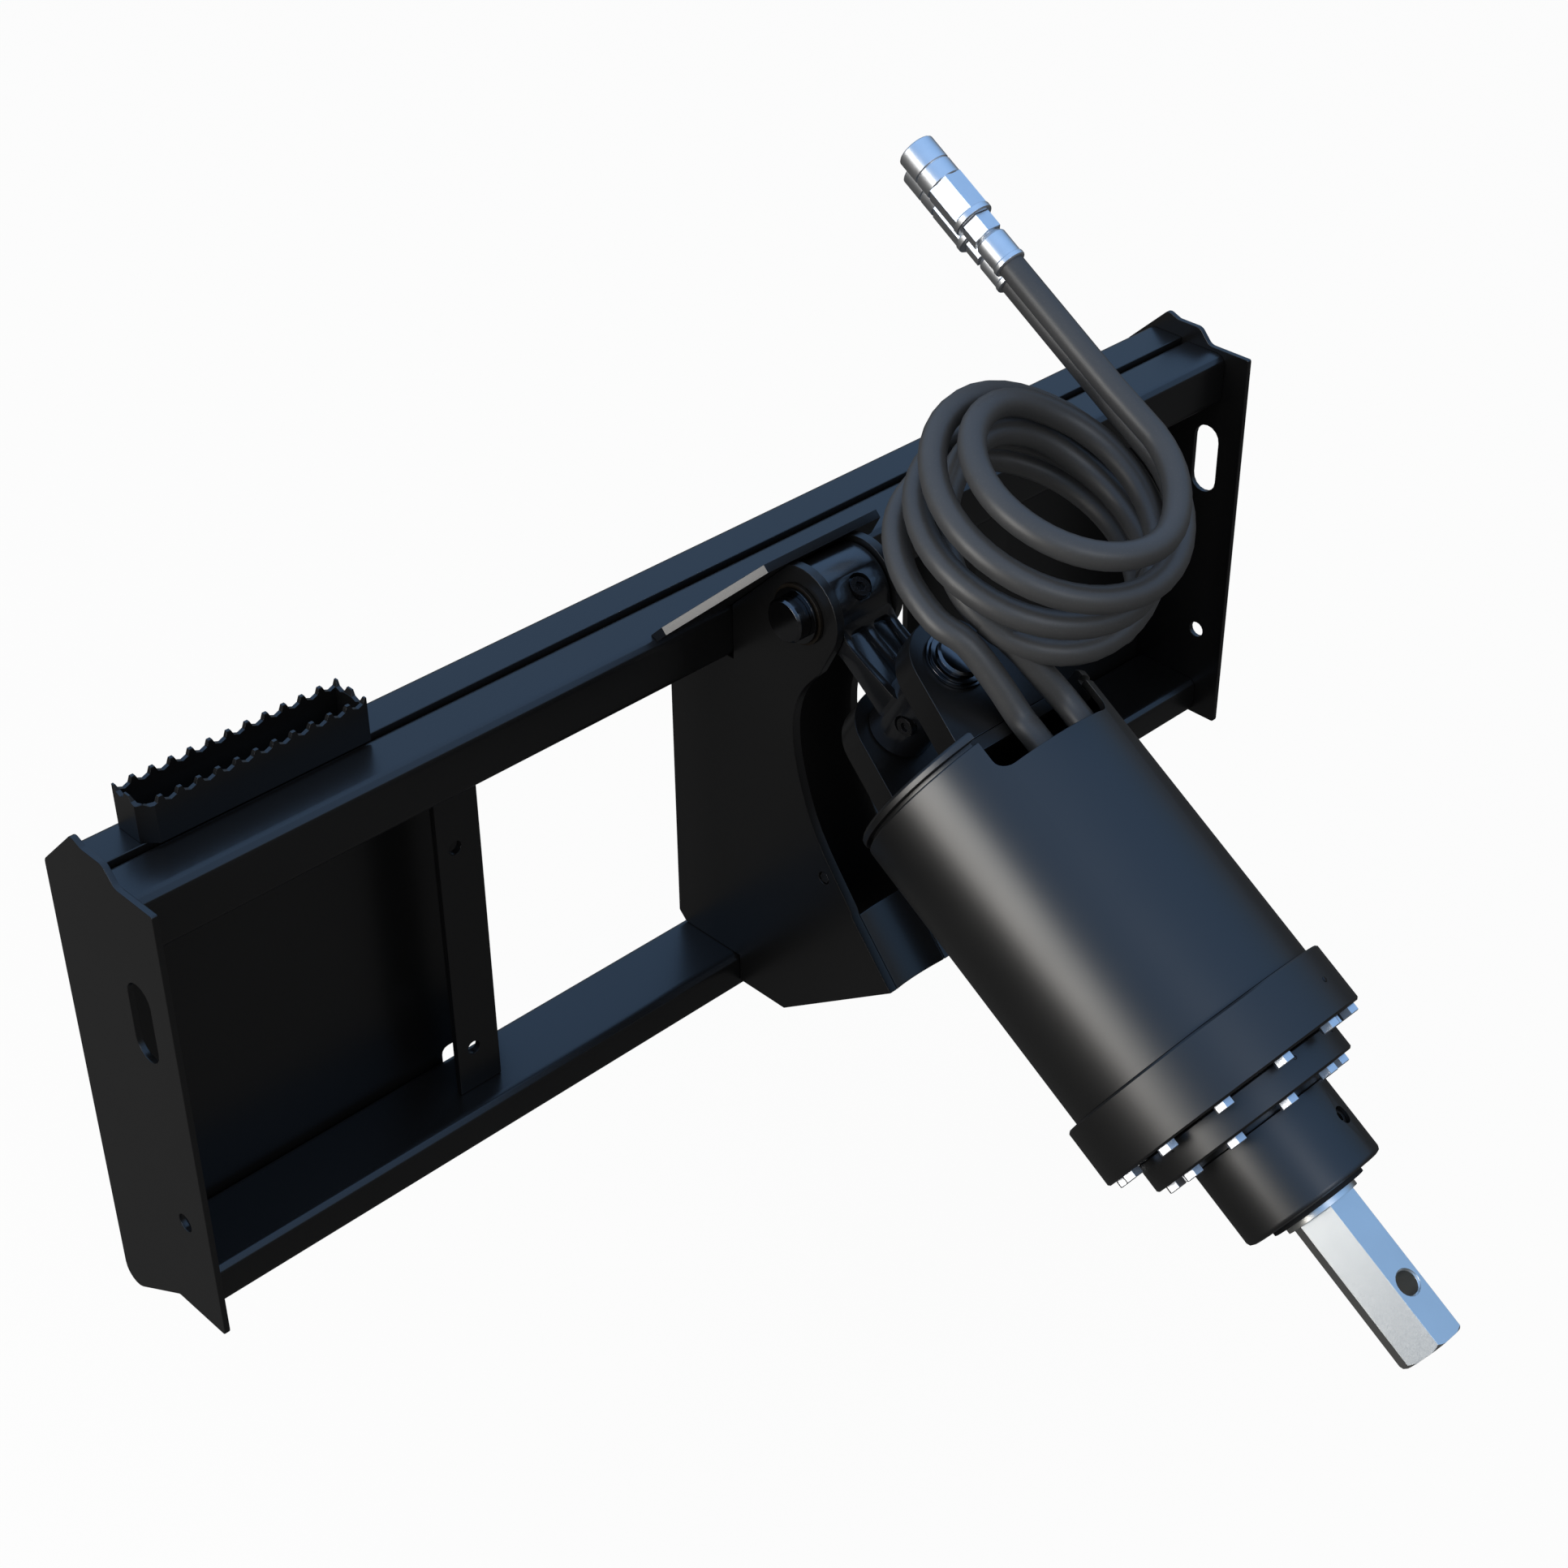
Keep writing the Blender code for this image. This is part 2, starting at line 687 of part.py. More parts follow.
def step():
    """Open box of thin walls whose upper edges are bitten into teeth, for a boot to grip."""
    base = CORNER_HEIGHT - LIP_DROP + GAP
    y0 = from_corner(STEP_FRONT, 0)[0]
    x1, y1 = STEP_X + STEP_LENGTH, y0 + STEP_DEPTH
    w = STEP_WALL
    chamfer = STEP_CHAMFER
    outer = [(STEP_X + chamfer, y0), (x1, y0), (x1, y1), (STEP_X, y1), (STEP_X, y0 + chamfer)]
    inner = [
        (STEP_X + chamfer + w * 0.414, y0 + w),
        (x1 - w, y0 + w),
        (x1 - w, y1 - w),
        (STEP_X + w, y1 - w),
        (STEP_X + w, y0 + chamfer + w * 0.414),
    ]
    middle = columns((1, 0, 0), (0, 1, 0), (0, 0, 1), (0, 0, base + STEP_HEIGHT / 2))
    box = meshed(sheet("step", [outer, inner], STEP_HEIGHT, middle, BLACK_PAINT))
    pitch = STEP_LENGTH / STEP_TEETH
    bites = []
    for k in range(STEP_TEETH):
        x = STEP_X + pitch * (k + 0.5)
        matrix = columns((0, 0, 1), (1, 0, 0), (0, 1, 0), (x, y0 + STEP_DEPTH / 2, base + STEP_HEIGHT))
        bites.append(rod(f"bite_{k}", TOOTH_BITE_R, -STEP_DEPTH, STEP_DEPTH, matrix, count=8))
    end_pitch = STEP_DEPTH / STEP_END_TEETH
    for k in range(STEP_END_TEETH):
        y = y0 + end_pitch * (k + 0.5)
        matrix = across(y, base + STEP_HEIGHT, STEP_X + STEP_LENGTH / 2)
        bites.append(rod(f"end_bite_{k}", TOOTH_BITE_R, -STEP_LENGTH, STEP_LENGTH, matrix, count=8))
    cut(box, *bites)


# Hitch on the frame

GUSSET_DOWN = Vector((math.cos(GUSSET_TILT), -math.sin(GUSSET_TILT)))
GUSSET_NORMAL = Vector((math.sin(GUSSET_TILT), math.cos(GUSSET_TILT)))
CHEEK_FRONT = [
    (-0.071, -0.024),
    (-0.0505, -0.050),
    (-0.0415, -0.083),
    (-0.0465, -0.125),
    (-0.066, -0.176),
    (-0.105, -0.230),
]
CRADLE_TOP = (-0.107, -0.236)
CRADLE_LOW = (-0.1495, -0.287)
CHEEK_TIP = (-0.028, -0.373)


def cheek_outline():
    pin = Vector((PIN_SETBACK, PIN_RISE))
    offset = GUSSET_OFFSET - GAP
    chord = math.sqrt(CHEEK_BOSS_R**2 - offset**2)
    boss_top = pin + GUSSET_NORMAL * offset - GUSSET_DOWN * chord
    first = math.atan2(boss_top.y - pin.y, boss_top.x - pin.x)
    last = math.pi + math.radians(26)
    count = 12
    arc = []
    for k in range(count + 1):
        angle = first + (last - first) * k / count
        arc.append((pin.x + CHEEK_BOSS_R * math.cos(angle), pin.y + CHEEK_BOSS_R * math.sin(angle)))
    front = smooth_through(CHEEK_FRONT, 4)
    tube_front = TUBE_SETBACK - GAP
    reach = (tube_front - (pin + GUSSET_NORMAL * offset).x) / GUSSET_DOWN.x
    meet = pin + GUSSET_NORMAL * offset + GUSSET_DOWN * reach
    back = PANEL_FACE + 0.001
    below = -TOP_TUBE_DROP - TOP_TUBE_HEIGHT - GAP
    above = LOW_TUBE_BOTTOM + LOW_TUBE_HEIGHT + GAP
    lower = [
        CRADLE_TOP,
        CRADLE_LOW,
        CHEEK_TIP,
        (tube_front, CHEEK_TIP[1]),
        (tube_front, above),
        (back - 0.008, above),
        (back, above + 0.008),
        (back, below),
        (tube_front, below),
        tuple(meet),
    ]
    return arc + front + lower


def cheeks():
    outline = [from_corner(*p) for p in cheek_outline()]
    bore = circle(PIN_Y, PIN_Z, PIN_R + RUNNING + BUSH_WALL + GAP, PIN_ROUND)
    bolt_hole = circle(*from_corner(-0.075, -0.213), CHEEK_BOLT_HOLE_R, 12)
    for side, x in (("left", -1), ("right", 1)):
        middle = x * (CHEEK_INNER_X + CHEEK_T / 2)
        loops = [outline, bore, bolt_hole]
        sheet(f"hitch_cheek_{side}", loops, CHEEK_T, sideways(middle), BLACK_PAINT)


def gusset():
    """Trapezoid plate that ties the cheeks' tops to the top tube, coped to the tube's corner."""
    low = GUSSET_OFFSET
    outline = [
        (-GUSSET_TOP_HALF, -GUSSET_TOP),
        (GUSSET_TOP_HALF, -GUSSET_TOP),
        (GUSSET_BASE_HALF, GUSSET_SHOULDER),
        (GUSSET_BASE_HALF, GUSSET_FOOT),
        (-GUSSET_BASE_HALF, GUSSET_FOOT),
        (-GUSSET_BASE_HALF, GUSSET_SHOULDER),
    ]
    down = (0, *GUSSET_DOWN)
    normal = (0, -GUSSET_NORMAL.x, -GUSSET_NORMAL.y)
    middle = PIN_POINT - Vector(normal) * (low + GUSSET_T / 2)
    matrix = columns((1, 0, 0), down, normal, middle)
    plate = meshed(sheet("hitch_gusset", [outline], GUSSET_T, matrix, BLACK_PAINT))
    cope = sheet(
        "tube_cope",
        tube_loops(-TOP_TUBE_DROP, TOP_TUBE_DEPTH, TOP_TUBE_HEIGHT, GAP),
        0.5,
        sideways(0),
        cutter=True,
    )
    cut(plate, meshed(cope))
    trim_y, trim_z = from_corner(TUBE_SETBACK, -TOP_TUBE_DROP - 0.012)
    trim = sheet(
        "foot_trim",
        [box_outline(trim_y - 0.05, trim_z - 0.08, trim_y + 0.06, trim_z)],
        0.5,
        sideways(0),
        cutter=True,
    )
    cut(plate, meshed(trim))


def cradle():
    """Shallow trough between the cheeks that the drive's shell lies in when it is tilted right back."""
    top = Vector(from_corner(*CRADLE_TOP))
    low = Vector(from_corner(*CRADLE_LOW))
    run = (low - top).normalized()
    out = Vector((run.y, -run.x))
    length = (low - top).length
    half = CHEEK_INNER_X - GAP
    sag = CRADLE_SAG
    upper = [(x, -sag * (1 - (x / half) ** 2)) for x in (half * (k / 5 - 1) for k in range(11))]
    lower = [(x, v - CRADLE_T) for x, v in reversed(upper)]
    middle = top + run * (length / 2)
    matrix = columns((1, 0, 0), (0, *out), (0, -run.x, -run.y), (0, *middle))
    sheet("cradle", [upper + lower], length, matrix, BLACK_PAINT)


def cheek_bushes():
    """Flanged bushes in the cheeks' bores, their flanges outside."""
    inner = PIN_R + RUNNING
    outer = inner + BUSH_WALL
    near, far = CHEEK_INNER_X, CHEEK_INNER_X + CHEEK_T
    lip = far + GAP
    profile = [
        (inner, near),
        (outer, near),
        (outer, lip),
        (WASHER_R, lip),
        (WASHER_R, lip + WASHER_T),
        (inner, lip + WASHER_T),
    ]
    for side, x in (("left", -1), ("right", 1)):
        mirrored = [(r, x * s) for r, s in profile]
        matrix = along_x(-DRIVE_OFFSET, 0)
        solid_turn(f"cheek_bush_{side}", mirrored, matrix, BRONZE, steps=PIN_ROUND, closed=True)


# Knuckle link

PIN_N = -DRIVE_OFFSET
LINK_MID_N = (EAR_FRONT_N - EAR_T / 2 + EAR_REAR_N + EAR_T / 2) / 2
LOWER_BOSS_HALF = (EAR_FRONT_N - EAR_REAR_N - EAR_T) / 2 - 0.0005


def link():
    """Cast knuckle: a boss across, a boss along n, and a waisted body with ribs and pockets between."""
    upper_axis = along_x(PIN_N, 0)
    lower_axis = along_n(0, KNUCKLE_REACH)
    boss = rod(
        "knuckle_link", LINK_BOSS_R, -LINK_HALF, LINK_HALF, upper_axis, False, CAST_BLACK, ROUND, 0.0015
    )
    low, high = LINK_MID_N - LOWER_BOSS_HALF, LINK_MID_N + LOWER_BOSS_HALF
    lower = rod("lower_boss", LINK_LOWER_R, low, high, lower_axis, count=ROUND, chamfer=0.0015)
    neck = LINK_MID_N + LINK_NECK
    side = [
        (PIN_N + LINK_BOSS_R - 0.006, 0.012),
        (neck + 0.004, 0.034),
        (neck, 0.048),
        (LINK_MID_N + LINK_WAIST, KNUCKLE_REACH - 0.010),
        (LINK_MID_N + LINK_WAIST, KNUCKLE_REACH),
    ]
    profile = smooth_through(side, 3)
    mirrored = [(2 * LINK_MID_N - n, s) for n, s in reversed(profile)]
    side_plane = DRIVE @ columns((0, 1, 0), (0, 0, 1), (1, 0, 0), (0, 0, 0))
    body = sheet("link_body", [profile + mirrored], 2 * LINK_HALF - 0.001, side_plane, cutter=True)
    body = meshed(body)
    nose_half = LINK_LOWER_R * 0.5
    nose = [
        (-LINK_HALF, 0.0, 0.0),
        (LINK_HALF, 0.0, 0.0),
        (LINK_HALF, KNUCKLE_REACH - 0.012, 0.010),
        (nose_half, KNUCKLE_REACH + 0.014, 0.004),
        (-nose_half, KNUCKLE_REACH + 0.014, 0.004),
        (-LINK_HALF, KNUCKLE_REACH - 0.012, 0.010),
    ]
    plan = meshed(sheet("link_plan", [fillet(nose)], 0.2, drive_sheet(0), cutter=True))
    boolean(body, plan, "INTERSECT")
    cut(body, *link_pockets())
    join(boss, body, lower)
    pin_r = PIN_R + GAP
    bolt_r = BOLT_R + GAP
    upper_bolt = along_n(0, UPPER_BOLT_STATION)
    lower_bolt = along_x(LINK_MID_N, KNUCKLE_REACH + LOWER_BOLT_PAST)
    upper_seat = PIN_N + LINK_BOSS_R - UPPER_BOLT_SEAT
    lower_seat = -LINK_LOWER_R + LOWER_BOLT_SEAT
    cut(
        boss,
        rod("upper_bore", pin_r, -0.05, 0.05, upper_axis, count=PIN_ROUND),
        rod("lower_bore", pin_r, -0.08, 0.08, lower_axis, count=PIN_ROUND),
        rod("upper_bolt_hole", bolt_r, -0.036, 0.03, upper_bolt, count=12),
        rod("upper_counterbore", UPPER_HEAD_R + SINK_CLEARANCE, upper_seat, 0.05, upper_bolt),
        rod("lower_bolt_hole", bolt_r, -0.04, 0.012, lower_bolt, count=12),
        rod("lower_counterbore", LOWER_HEAD_R + SINK_CLEARANCE, -0.05, lower_seat, lower_bolt),
    )
    smooth(boss)
    ride(boss, HITCH_AXIS)


def link_pockets():
    """Cutters for the hollows between the three ribs, on the upper and on the lower face."""
    rib_xs = (-LINK_HALF + RIB_T / 2, 0.0, LINK_HALF - RIB_T / 2)
    start, end = LINK_BOSS_R + 0.001, KNUCKLE_REACH - LINK_LOWER_R + 0.016
    pockets = []
    for face in (1, -1):
        floor = LINK_MID_N + face * (LINK_WAIST - POCKET_DEPTH)
        far = LINK_MID_N + face * 0.05
        for left, right in zip(rib_xs, rib_xs[1:]):
            outline = box_outline(left + RIB_T / 2, start, right - RIB_T / 2, end, 0.004)
            plane = drive_sheet((far + floor) / 2)
            pockets.append(meshed(sheet("pocket", [outline], abs(far - floor), plane, cutter=True)))
    return pockets


def grooved_pin(name, low, high, groove_low, groove_high, matrix, hole):
    """Pin with chamfered ends and a ring groove near each, cross-drilled for its retaining bolt."""
    groove_r = PIN_R - GROOVE_DEPTH
    side = RING_T / 2 + GAP
    profile = [
        (0, low),
        (PIN_R - PIN_CHAMFER, low),
        (PIN_R, low + PIN_CHAMFER),
        (PIN_R, groove_low - side),
        (groove_r, groove_low - side),
        (groove_r, groove_low + side),
        (PIN_R, groove_low + side),
        (PIN_R, groove_high - side),
        (groove_r, groove_high - side),
        (groove_r, groove_high + side),
        (PIN_R, groove_high + side),
        (PIN_R, high - PIN_CHAMFER),
        (PIN_R - PIN_CHAMFER, high),
        (0, high),
    ]
    pin = solid_turn(name, profile, matrix, STEEL, steps=PIN_ROUND)
    cut(pin, hole)
    ride(smooth(pin), HITCH_AXIS)


def flat_ring(name, station, inner, outer, thickness, matrix):
    """Flat ring on a pin, centred at this station of the pin's axis."""
    low, high = station - thickness / 2, station + thickness / 2
    profile = [(inner, low), (outer, low), (outer, high), (inner, high)]
    ride(solid_turn(name, profile, matrix, STEEL, steps=PIN_ROUND, closed=True), HITCH_AXIS)


def pins():
    upper = along_x(PIN_N, 0)
    lower = along_n(0, KNUCKLE_REACH)
    bolt_r = BOLT_R + GAP
    ring_x = CHEEK_INNER_X + CHEEK_T + GAP + WASHER_T + 3 * GAP + RING_T / 2
    end_x = ring_x + UPPER_PIN_OVERHANG
    hole = rod("upper_pin_hole", bolt_r, -0.05, 0.05, along_n(0, UPPER_BOLT_STATION), count=12)
    grooved_pin("upper_pin", -end_x, end_x, -ring_x, ring_x, upper, hole)
    inner = PIN_R - GROOVE_DEPTH + GAP
    flat_ring("upper_pin_ring_left", -ring_x, inner, RING_R, RING_T, upper)
    flat_ring("upper_pin_ring_right", ring_x, inner, RING_R, RING_T, upper)
    front = EAR_FRONT_N + EAR_T / 2
    rear = EAR_REAR_N - EAR_T / 2
    washer = WASHER_T / 2 + GAP
    ring = washer + WASHER_T / 2 + GAP + RING_T / 2
    end = ring + LOWER_PIN_OVERHANG
    hole_axis = along_x(LINK_MID_N, KNUCKLE_REACH + LOWER_BOLT_PAST)
    hole = rod("lower_pin_hole", bolt_r, -0.05, 0.05, hole_axis, count=12)
    grooved_pin("lower_pin", rear - end, front + end, rear - ring, front + ring, lower, hole)
    flat_ring("lower_pin_washer_front", front + washer, PIN_R + GAP, WASHER_R, WASHER_T, lower)
    flat_ring("lower_pin_washer_rear", rear - washer, PIN_R + GAP, WASHER_R, WASHER_T, lower)
    flat_ring("lower_pin_ring_front", front + ring, inner, RING_R, RING_T, lower)
    flat_ring("lower_pin_ring_rear", rear - ring, inner, RING_R, RING_T, lower)


def cap_screw(name, head_r, seat, tip, matrix):
    """Socket head screw: a head that rests on the seat and a shank that runs to the tip."""
    low, high = seat + GAP, seat + GAP + HEAD_HEIGHT
    profile = [(0, tip), (BOLT_R, tip), (BOLT_R, low), (head_r, low), (head_r, high), (0, high)]
    screw = solid_turn(name, profile, matrix, ZINC, steps=SMALL_ROUND)
    socket = rod(name + "_socket", head_r * 0.5, high - HEAD_HEIGHT * 0.6, high + 0.01, matrix, count=6)
    cut(screw, socket)
    ride(smooth(screw), HITCH_AXIS)


def retaining_bolts():
    upper_seat = PIN_N + LINK_BOSS_R - UPPER_BOLT_SEAT
    cap_screw("upper_pin_bolt", UPPER_HEAD_R, upper_seat, -0.034, along_n(0, UPPER_BOLT_STATION))
    hole_axis = along_x(LINK_MID_N, KNUCKLE_REACH + LOWER_BOLT_PAST)
    to_left = hole_axis @ Matrix.Rotation(math.pi, 4, "Y")
    cap_screw("lower_pin_bolt", LOWER_HEAD_R, LINK_LOWER_R - LOWER_BOLT_SEAT, -0.010, to_left)


# Drive

def ears():
    """Front and rear hanger ears with flanged tops round the lower pin, and their bushes."""
    base = DISC_TOP - GAP
    spread = Vector((EAR_BASE_HALF, base - KNUCKLE_REACH))
    tangent = math.atan2(spread.y, spread.x) - math.acos(EAR_TOP_R / spread.length)
    sweep = math.pi + 2 * tangent
    count = 16
    points = []
    for k in range(count + 1):
        angle = tangent - sweep * k / count
        points.append((EAR_TOP_R * math.cos(angle), KNUCKLE_REACH + EAR_TOP_R * math.sin(angle)))
    outline = points + [(-EAR_BASE_HALF, base), (EAR_BASE_HALF, base)]
    bore = circle(0, KNUCKLE_REACH, PIN_R + RUNNING + BUSH_WALL + GAP, PIN_ROUND)
    for side, n in (("front", EAR_FRONT_N), ("rear", EAR_REAR_N)):
        ear = sheet(f"hanger_ear_{side}", [outline, bore], EAR_T, drive_sheet(n), BLACK_PAINT)
        ride(ear, SWING_AXIS)
        inner = PIN_R + RUNNING
        low, high = n - EAR_T / 2, n + EAR_T / 2
        profile = [(inner, low), (inner + BUSH_WALL, low), (inner + BUSH_WALL, high), (inner, high)]
        matrix = along_n(0, KNUCKLE_REACH)
        bush = solid_turn(f"ear_bush_{side}", profile, matrix, BRONZE, steps=PIN_ROUND, closed=True)
        ride(bush, SWING_AXIS)


def notch_cutter(name, floor, low):
    """Cutter for the hose notch: full width, open at the top end, corners rounded."""
    outline = fillet(
        [
            (-DISC_NOTCH_HALF, 0.14, 0.0),
            (DISC_NOTCH_HALF, 0.14, 0.0),
            (DISC_NOTCH_HALF, low, NOTCH_CORNER),
            (-DISC_NOTCH_HALF, low, NOTCH_CORNER),
        ]
    )
    top = 0.13
    return meshed(sheet(name, [outline], top - floor, drive_sheet((top + floor) / 2), cutter=True))


def hanger_disc():
    """Round plate that the ears are welded to, with a spigot in the shell and the hose notch in its rim."""
    spigot = SHELL_R - SHELL_WALL - GAP
    bottom = SHELL_TOP + SPIGOT_DEPTH
    profile = [
        (0, DISC_TOP),
        (DISC_R - 0.002, DISC_TOP),
        (DISC_R, DISC_TOP + 0.002),
        (DISC_R, DISC_TOP + DISC_T),
        (spigot, DISC_TOP + DISC_T),
        (spigot, bottom),
        (spigot - 0.008, bottom),
        (spigot - 0.008, DISC_TOP + DISC_T + 0.004),
        (0, DISC_TOP + DISC_T + 0.004),
    ]
    disc = solid_turn("hanger_disc", profile, DRIVE, BLACK_PAINT, steps=48)
    cut(disc, notch_cutter("disc_notch", DISC_NOTCH_FLOOR, 0.25))
    ride(smooth(disc), SWING_AXIS)


def motor_shell():
    """Round casing over the motor, notched at its top for the hoses."""
    inner = SHELL_R - SHELL_WALL
    low = GEARBOX_TOP - GAP
    profile = [
        (inner, SHELL_TOP),
        (SHELL_R - 0.001, SHELL_TOP),
        (SHELL_R, SHELL_TOP + 0.001),
        (SHELL_R, low),
        (inner, low),
    ]
    shell = solid_turn("motor_shell", profile, DRIVE, BLACK_PAINT, steps=48, closed=True)
    cut(shell, notch_cutter("shell_notch", 0.03, SHELL_NOTCH_BOTTOM))
    ride(smooth(shell), SWING_AXIS)


COVER_TOP = GEARBOX_TOP - COVER_T


def hydraulic_motor():
    """Gerotor motor: end cap, gear set, body and square mounting flange turned in steps."""
    bottom = COVER_TOP - GAP
    profile = [
        (0, MOTOR_TOP),
        (MOTOR_R - 0.006, MOTOR_TOP),
        (MOTOR_R - 0.003, MOTOR_TOP + 0.003),
        (MOTOR_R - 0.003, MOTOR_TOP + 0.020),
        (MOTOR_R, MOTOR_TOP + 0.022),
        (MOTOR_R, MOTOR_TOP + 0.110),
        (MOTOR_R - 0.006, MOTOR_TOP + 0.118),
        (MOTOR_R - 0.006, bottom - MOTOR_FLANGE_T),
        (MOTOR_FLANGE_R, bottom - MOTOR_FLANGE_T),
        (MOTOR_FLANGE_R, bottom),
        (0, bottom),
    ]
    motor = solid_turn("hydraulic_motor", profile, DRIVE, CAST_BLACK, steps=24)
    left = HOSE_A_PORT[0] - 0.019
    right = HOSE_B_PORT[0] + 0.015
    outline = box_outline(left, PORT_BLOCK_TOP, right, PORT_BLOCK_TOP + PORT_BLOCK_LENGTH, 0.004)
    plane = drive_sheet(PORT_BLOCK_RISE / 2)
    join(motor, meshed(sheet("port_block", [outline], PORT_BLOCK_RISE, plane, cutter=True)))
    ride(smooth(motor), SWING_AXIS)


def hex_heads(count, pitch_r, seat, first):
    """Ring of hexagon bolt heads that stand below the seat, for a union with the flange."""
    made = []
    for k in range(count):
        angle = first + math.tau * k / count
        centre = DRIVE @ Matrix.Translation((pitch_r * math.sin(angle), pitch_r * math.cos(angle), 0))
        corner = BOLT_AF / 2 / math.cos(math.pi / 6)
        made.append(rod(f"head_{k}", corner, seat - 0.001, seat + BOLT_HEAD, centre, count=6))
    return gathered("bolt_heads", made)


def gear_outline(teeth, above, below, turn, slack, centre=(0.0, 0.0)):
    """Closed outline of involute teeth, the first one centred at this turn from x, thinned by the slack."""
    pitch = GEAR_MODULE * teeth / 2
    base = pitch * math.cos(PRESSURE_ANGLE)
    at_pitch = math.pi / (2 * teeth) - slack / (2 * pitch) + math.tan(PRESSURE_ANGLE) - PRESSURE_ANGLE
    flank = []
    for share in (0.0, 0.5, 1.0):
        radius = pitch - below + share * (above + below)
        pressure = math.acos(min(1.0, base / radius))
        flank.append((radius, at_pitch - math.tan(pressure) + pressure))
    points = []
    for k in range(teeth):
        middle = turn + math.tau * k / teeth
        polar = [(r, middle - half) for r, half in flank]
        polar += [(r, middle + half) for r, half in reversed(flank)]
        points += [(centre[0] + r * math.cos(t), centre[1] + r * math.sin(t)) for r, t in polar]
    return points


def gear_plane(top, width):
    """Sheet across the drive's axis, from this station down by its width."""
    return DRIVE @ Matrix.Translation((0, 0, top + width / 2))


def planet_centres():
    reach = GEAR_MODULE * (SUN_TEETH + PLANET_TEETH) / 2
    turns = [math.tau * k / PLANETS for k in range(PLANETS)]
    return [(turn, (reach * math.cos(turn), reach * math.sin(turn))) for turn in turns]


def planetary_stage():
    """Sun on the motor's shaft, three planets inside the gear ring, and the carrier that they drive."""
    plane = gear_plane(GEAR_TOP, GEAR_WIDTH)
    teeth = gear_outline(SUN_TEETH, ADDENDUM, DEDENDUM, 0.0, BACKLASH)
    sun = meshed(sheet("sun_gear", [teeth], GEAR_WIDTH, plane, STEEL))
    join(sun, rod("sun_shaft", MOTOR_SHAFT_R, COVER_TOP, GEAR_TOP + 0.001, DRIVE))
    sun_axis = axis_empty("sun_axis", DRIVE)
    ride(sun_axis, SWING_AXIS)
    ride(smooth(sun, 20), sun_axis)
    carrier_top = GEAR_TOP + GEAR_WIDTH + 0.0015
    plate = [
        (CARRIER_BORE_R, carrier_top),
        (CARRIER_R, carrier_top),
        (CARRIER_R, carrier_top + CARRIER_T),
        (CARRIER_BORE_R, carrier_top + CARRIER_T),
    ]
    carrier = solid_turn("planet_carrier", plate, DRIVE, STEEL, closed=True)
    for k, (turn, (x, n)) in enumerate(planet_centres()):
        holder = DRIVE @ Matrix.Translation((x, n, 0))
        join(carrier, rod("planet_pin", PLANET_PIN_R, GEAR_TOP + 0.001, carrier_top + 0.001, holder))
        first = turn + math.pi + math.pi / PLANET_TEETH
        teeth = gear_outline(PLANET_TEETH, ADDENDUM, DEDENDUM, first, BACKLASH)
        bore = circle(0, 0, PLANET_PIN_R + GAP)
        here = holder @ Matrix.Translation((0, 0, GEAR_TOP + GEAR_WIDTH / 2))
        planet = sheet(f"planet_gear_{k + 1}", [teeth, bore], GEAR_WIDTH, here, STEEL)
        planet_axis = axis_empty(f"planet_axis_{k + 1}", holder)
        ride(planet_axis, SPIN_AXIS)
        ride(planet, planet_axis)
    ride(smooth(carrier), SPIN_AXIS)


def bearings():
    """Two roller bearings between the drum and the shaft's journal, dished between their races."""
    inner, outer = JOURNAL_R + GAP, DRUM_BORE_R - GAP
    for name, top in (
        ("bearing_upper", DRUM_TOP - 0.012),
        ("bearing_lower", DRUM_BOTTOM - 0.016 - GAP - BEARING_WIDTH),
    ):
        low = top + BEARING_WIDTH
        section = [
            (inner, top),
            (inner + BEARING_RACE, top),
            (inner + BEARING_RACE, top + BEARING_DISH),
            (outer - BEARING_RACE, top + BEARING_DISH),
            (outer - BEARING_RACE, top),
            (outer, top),
            (outer, low),
            (inner, low),
        ]
        ride(solid_turn(name, section, DRIVE, STEEL, steps=PIN_ROUND, closed=True), SWING_AXIS)


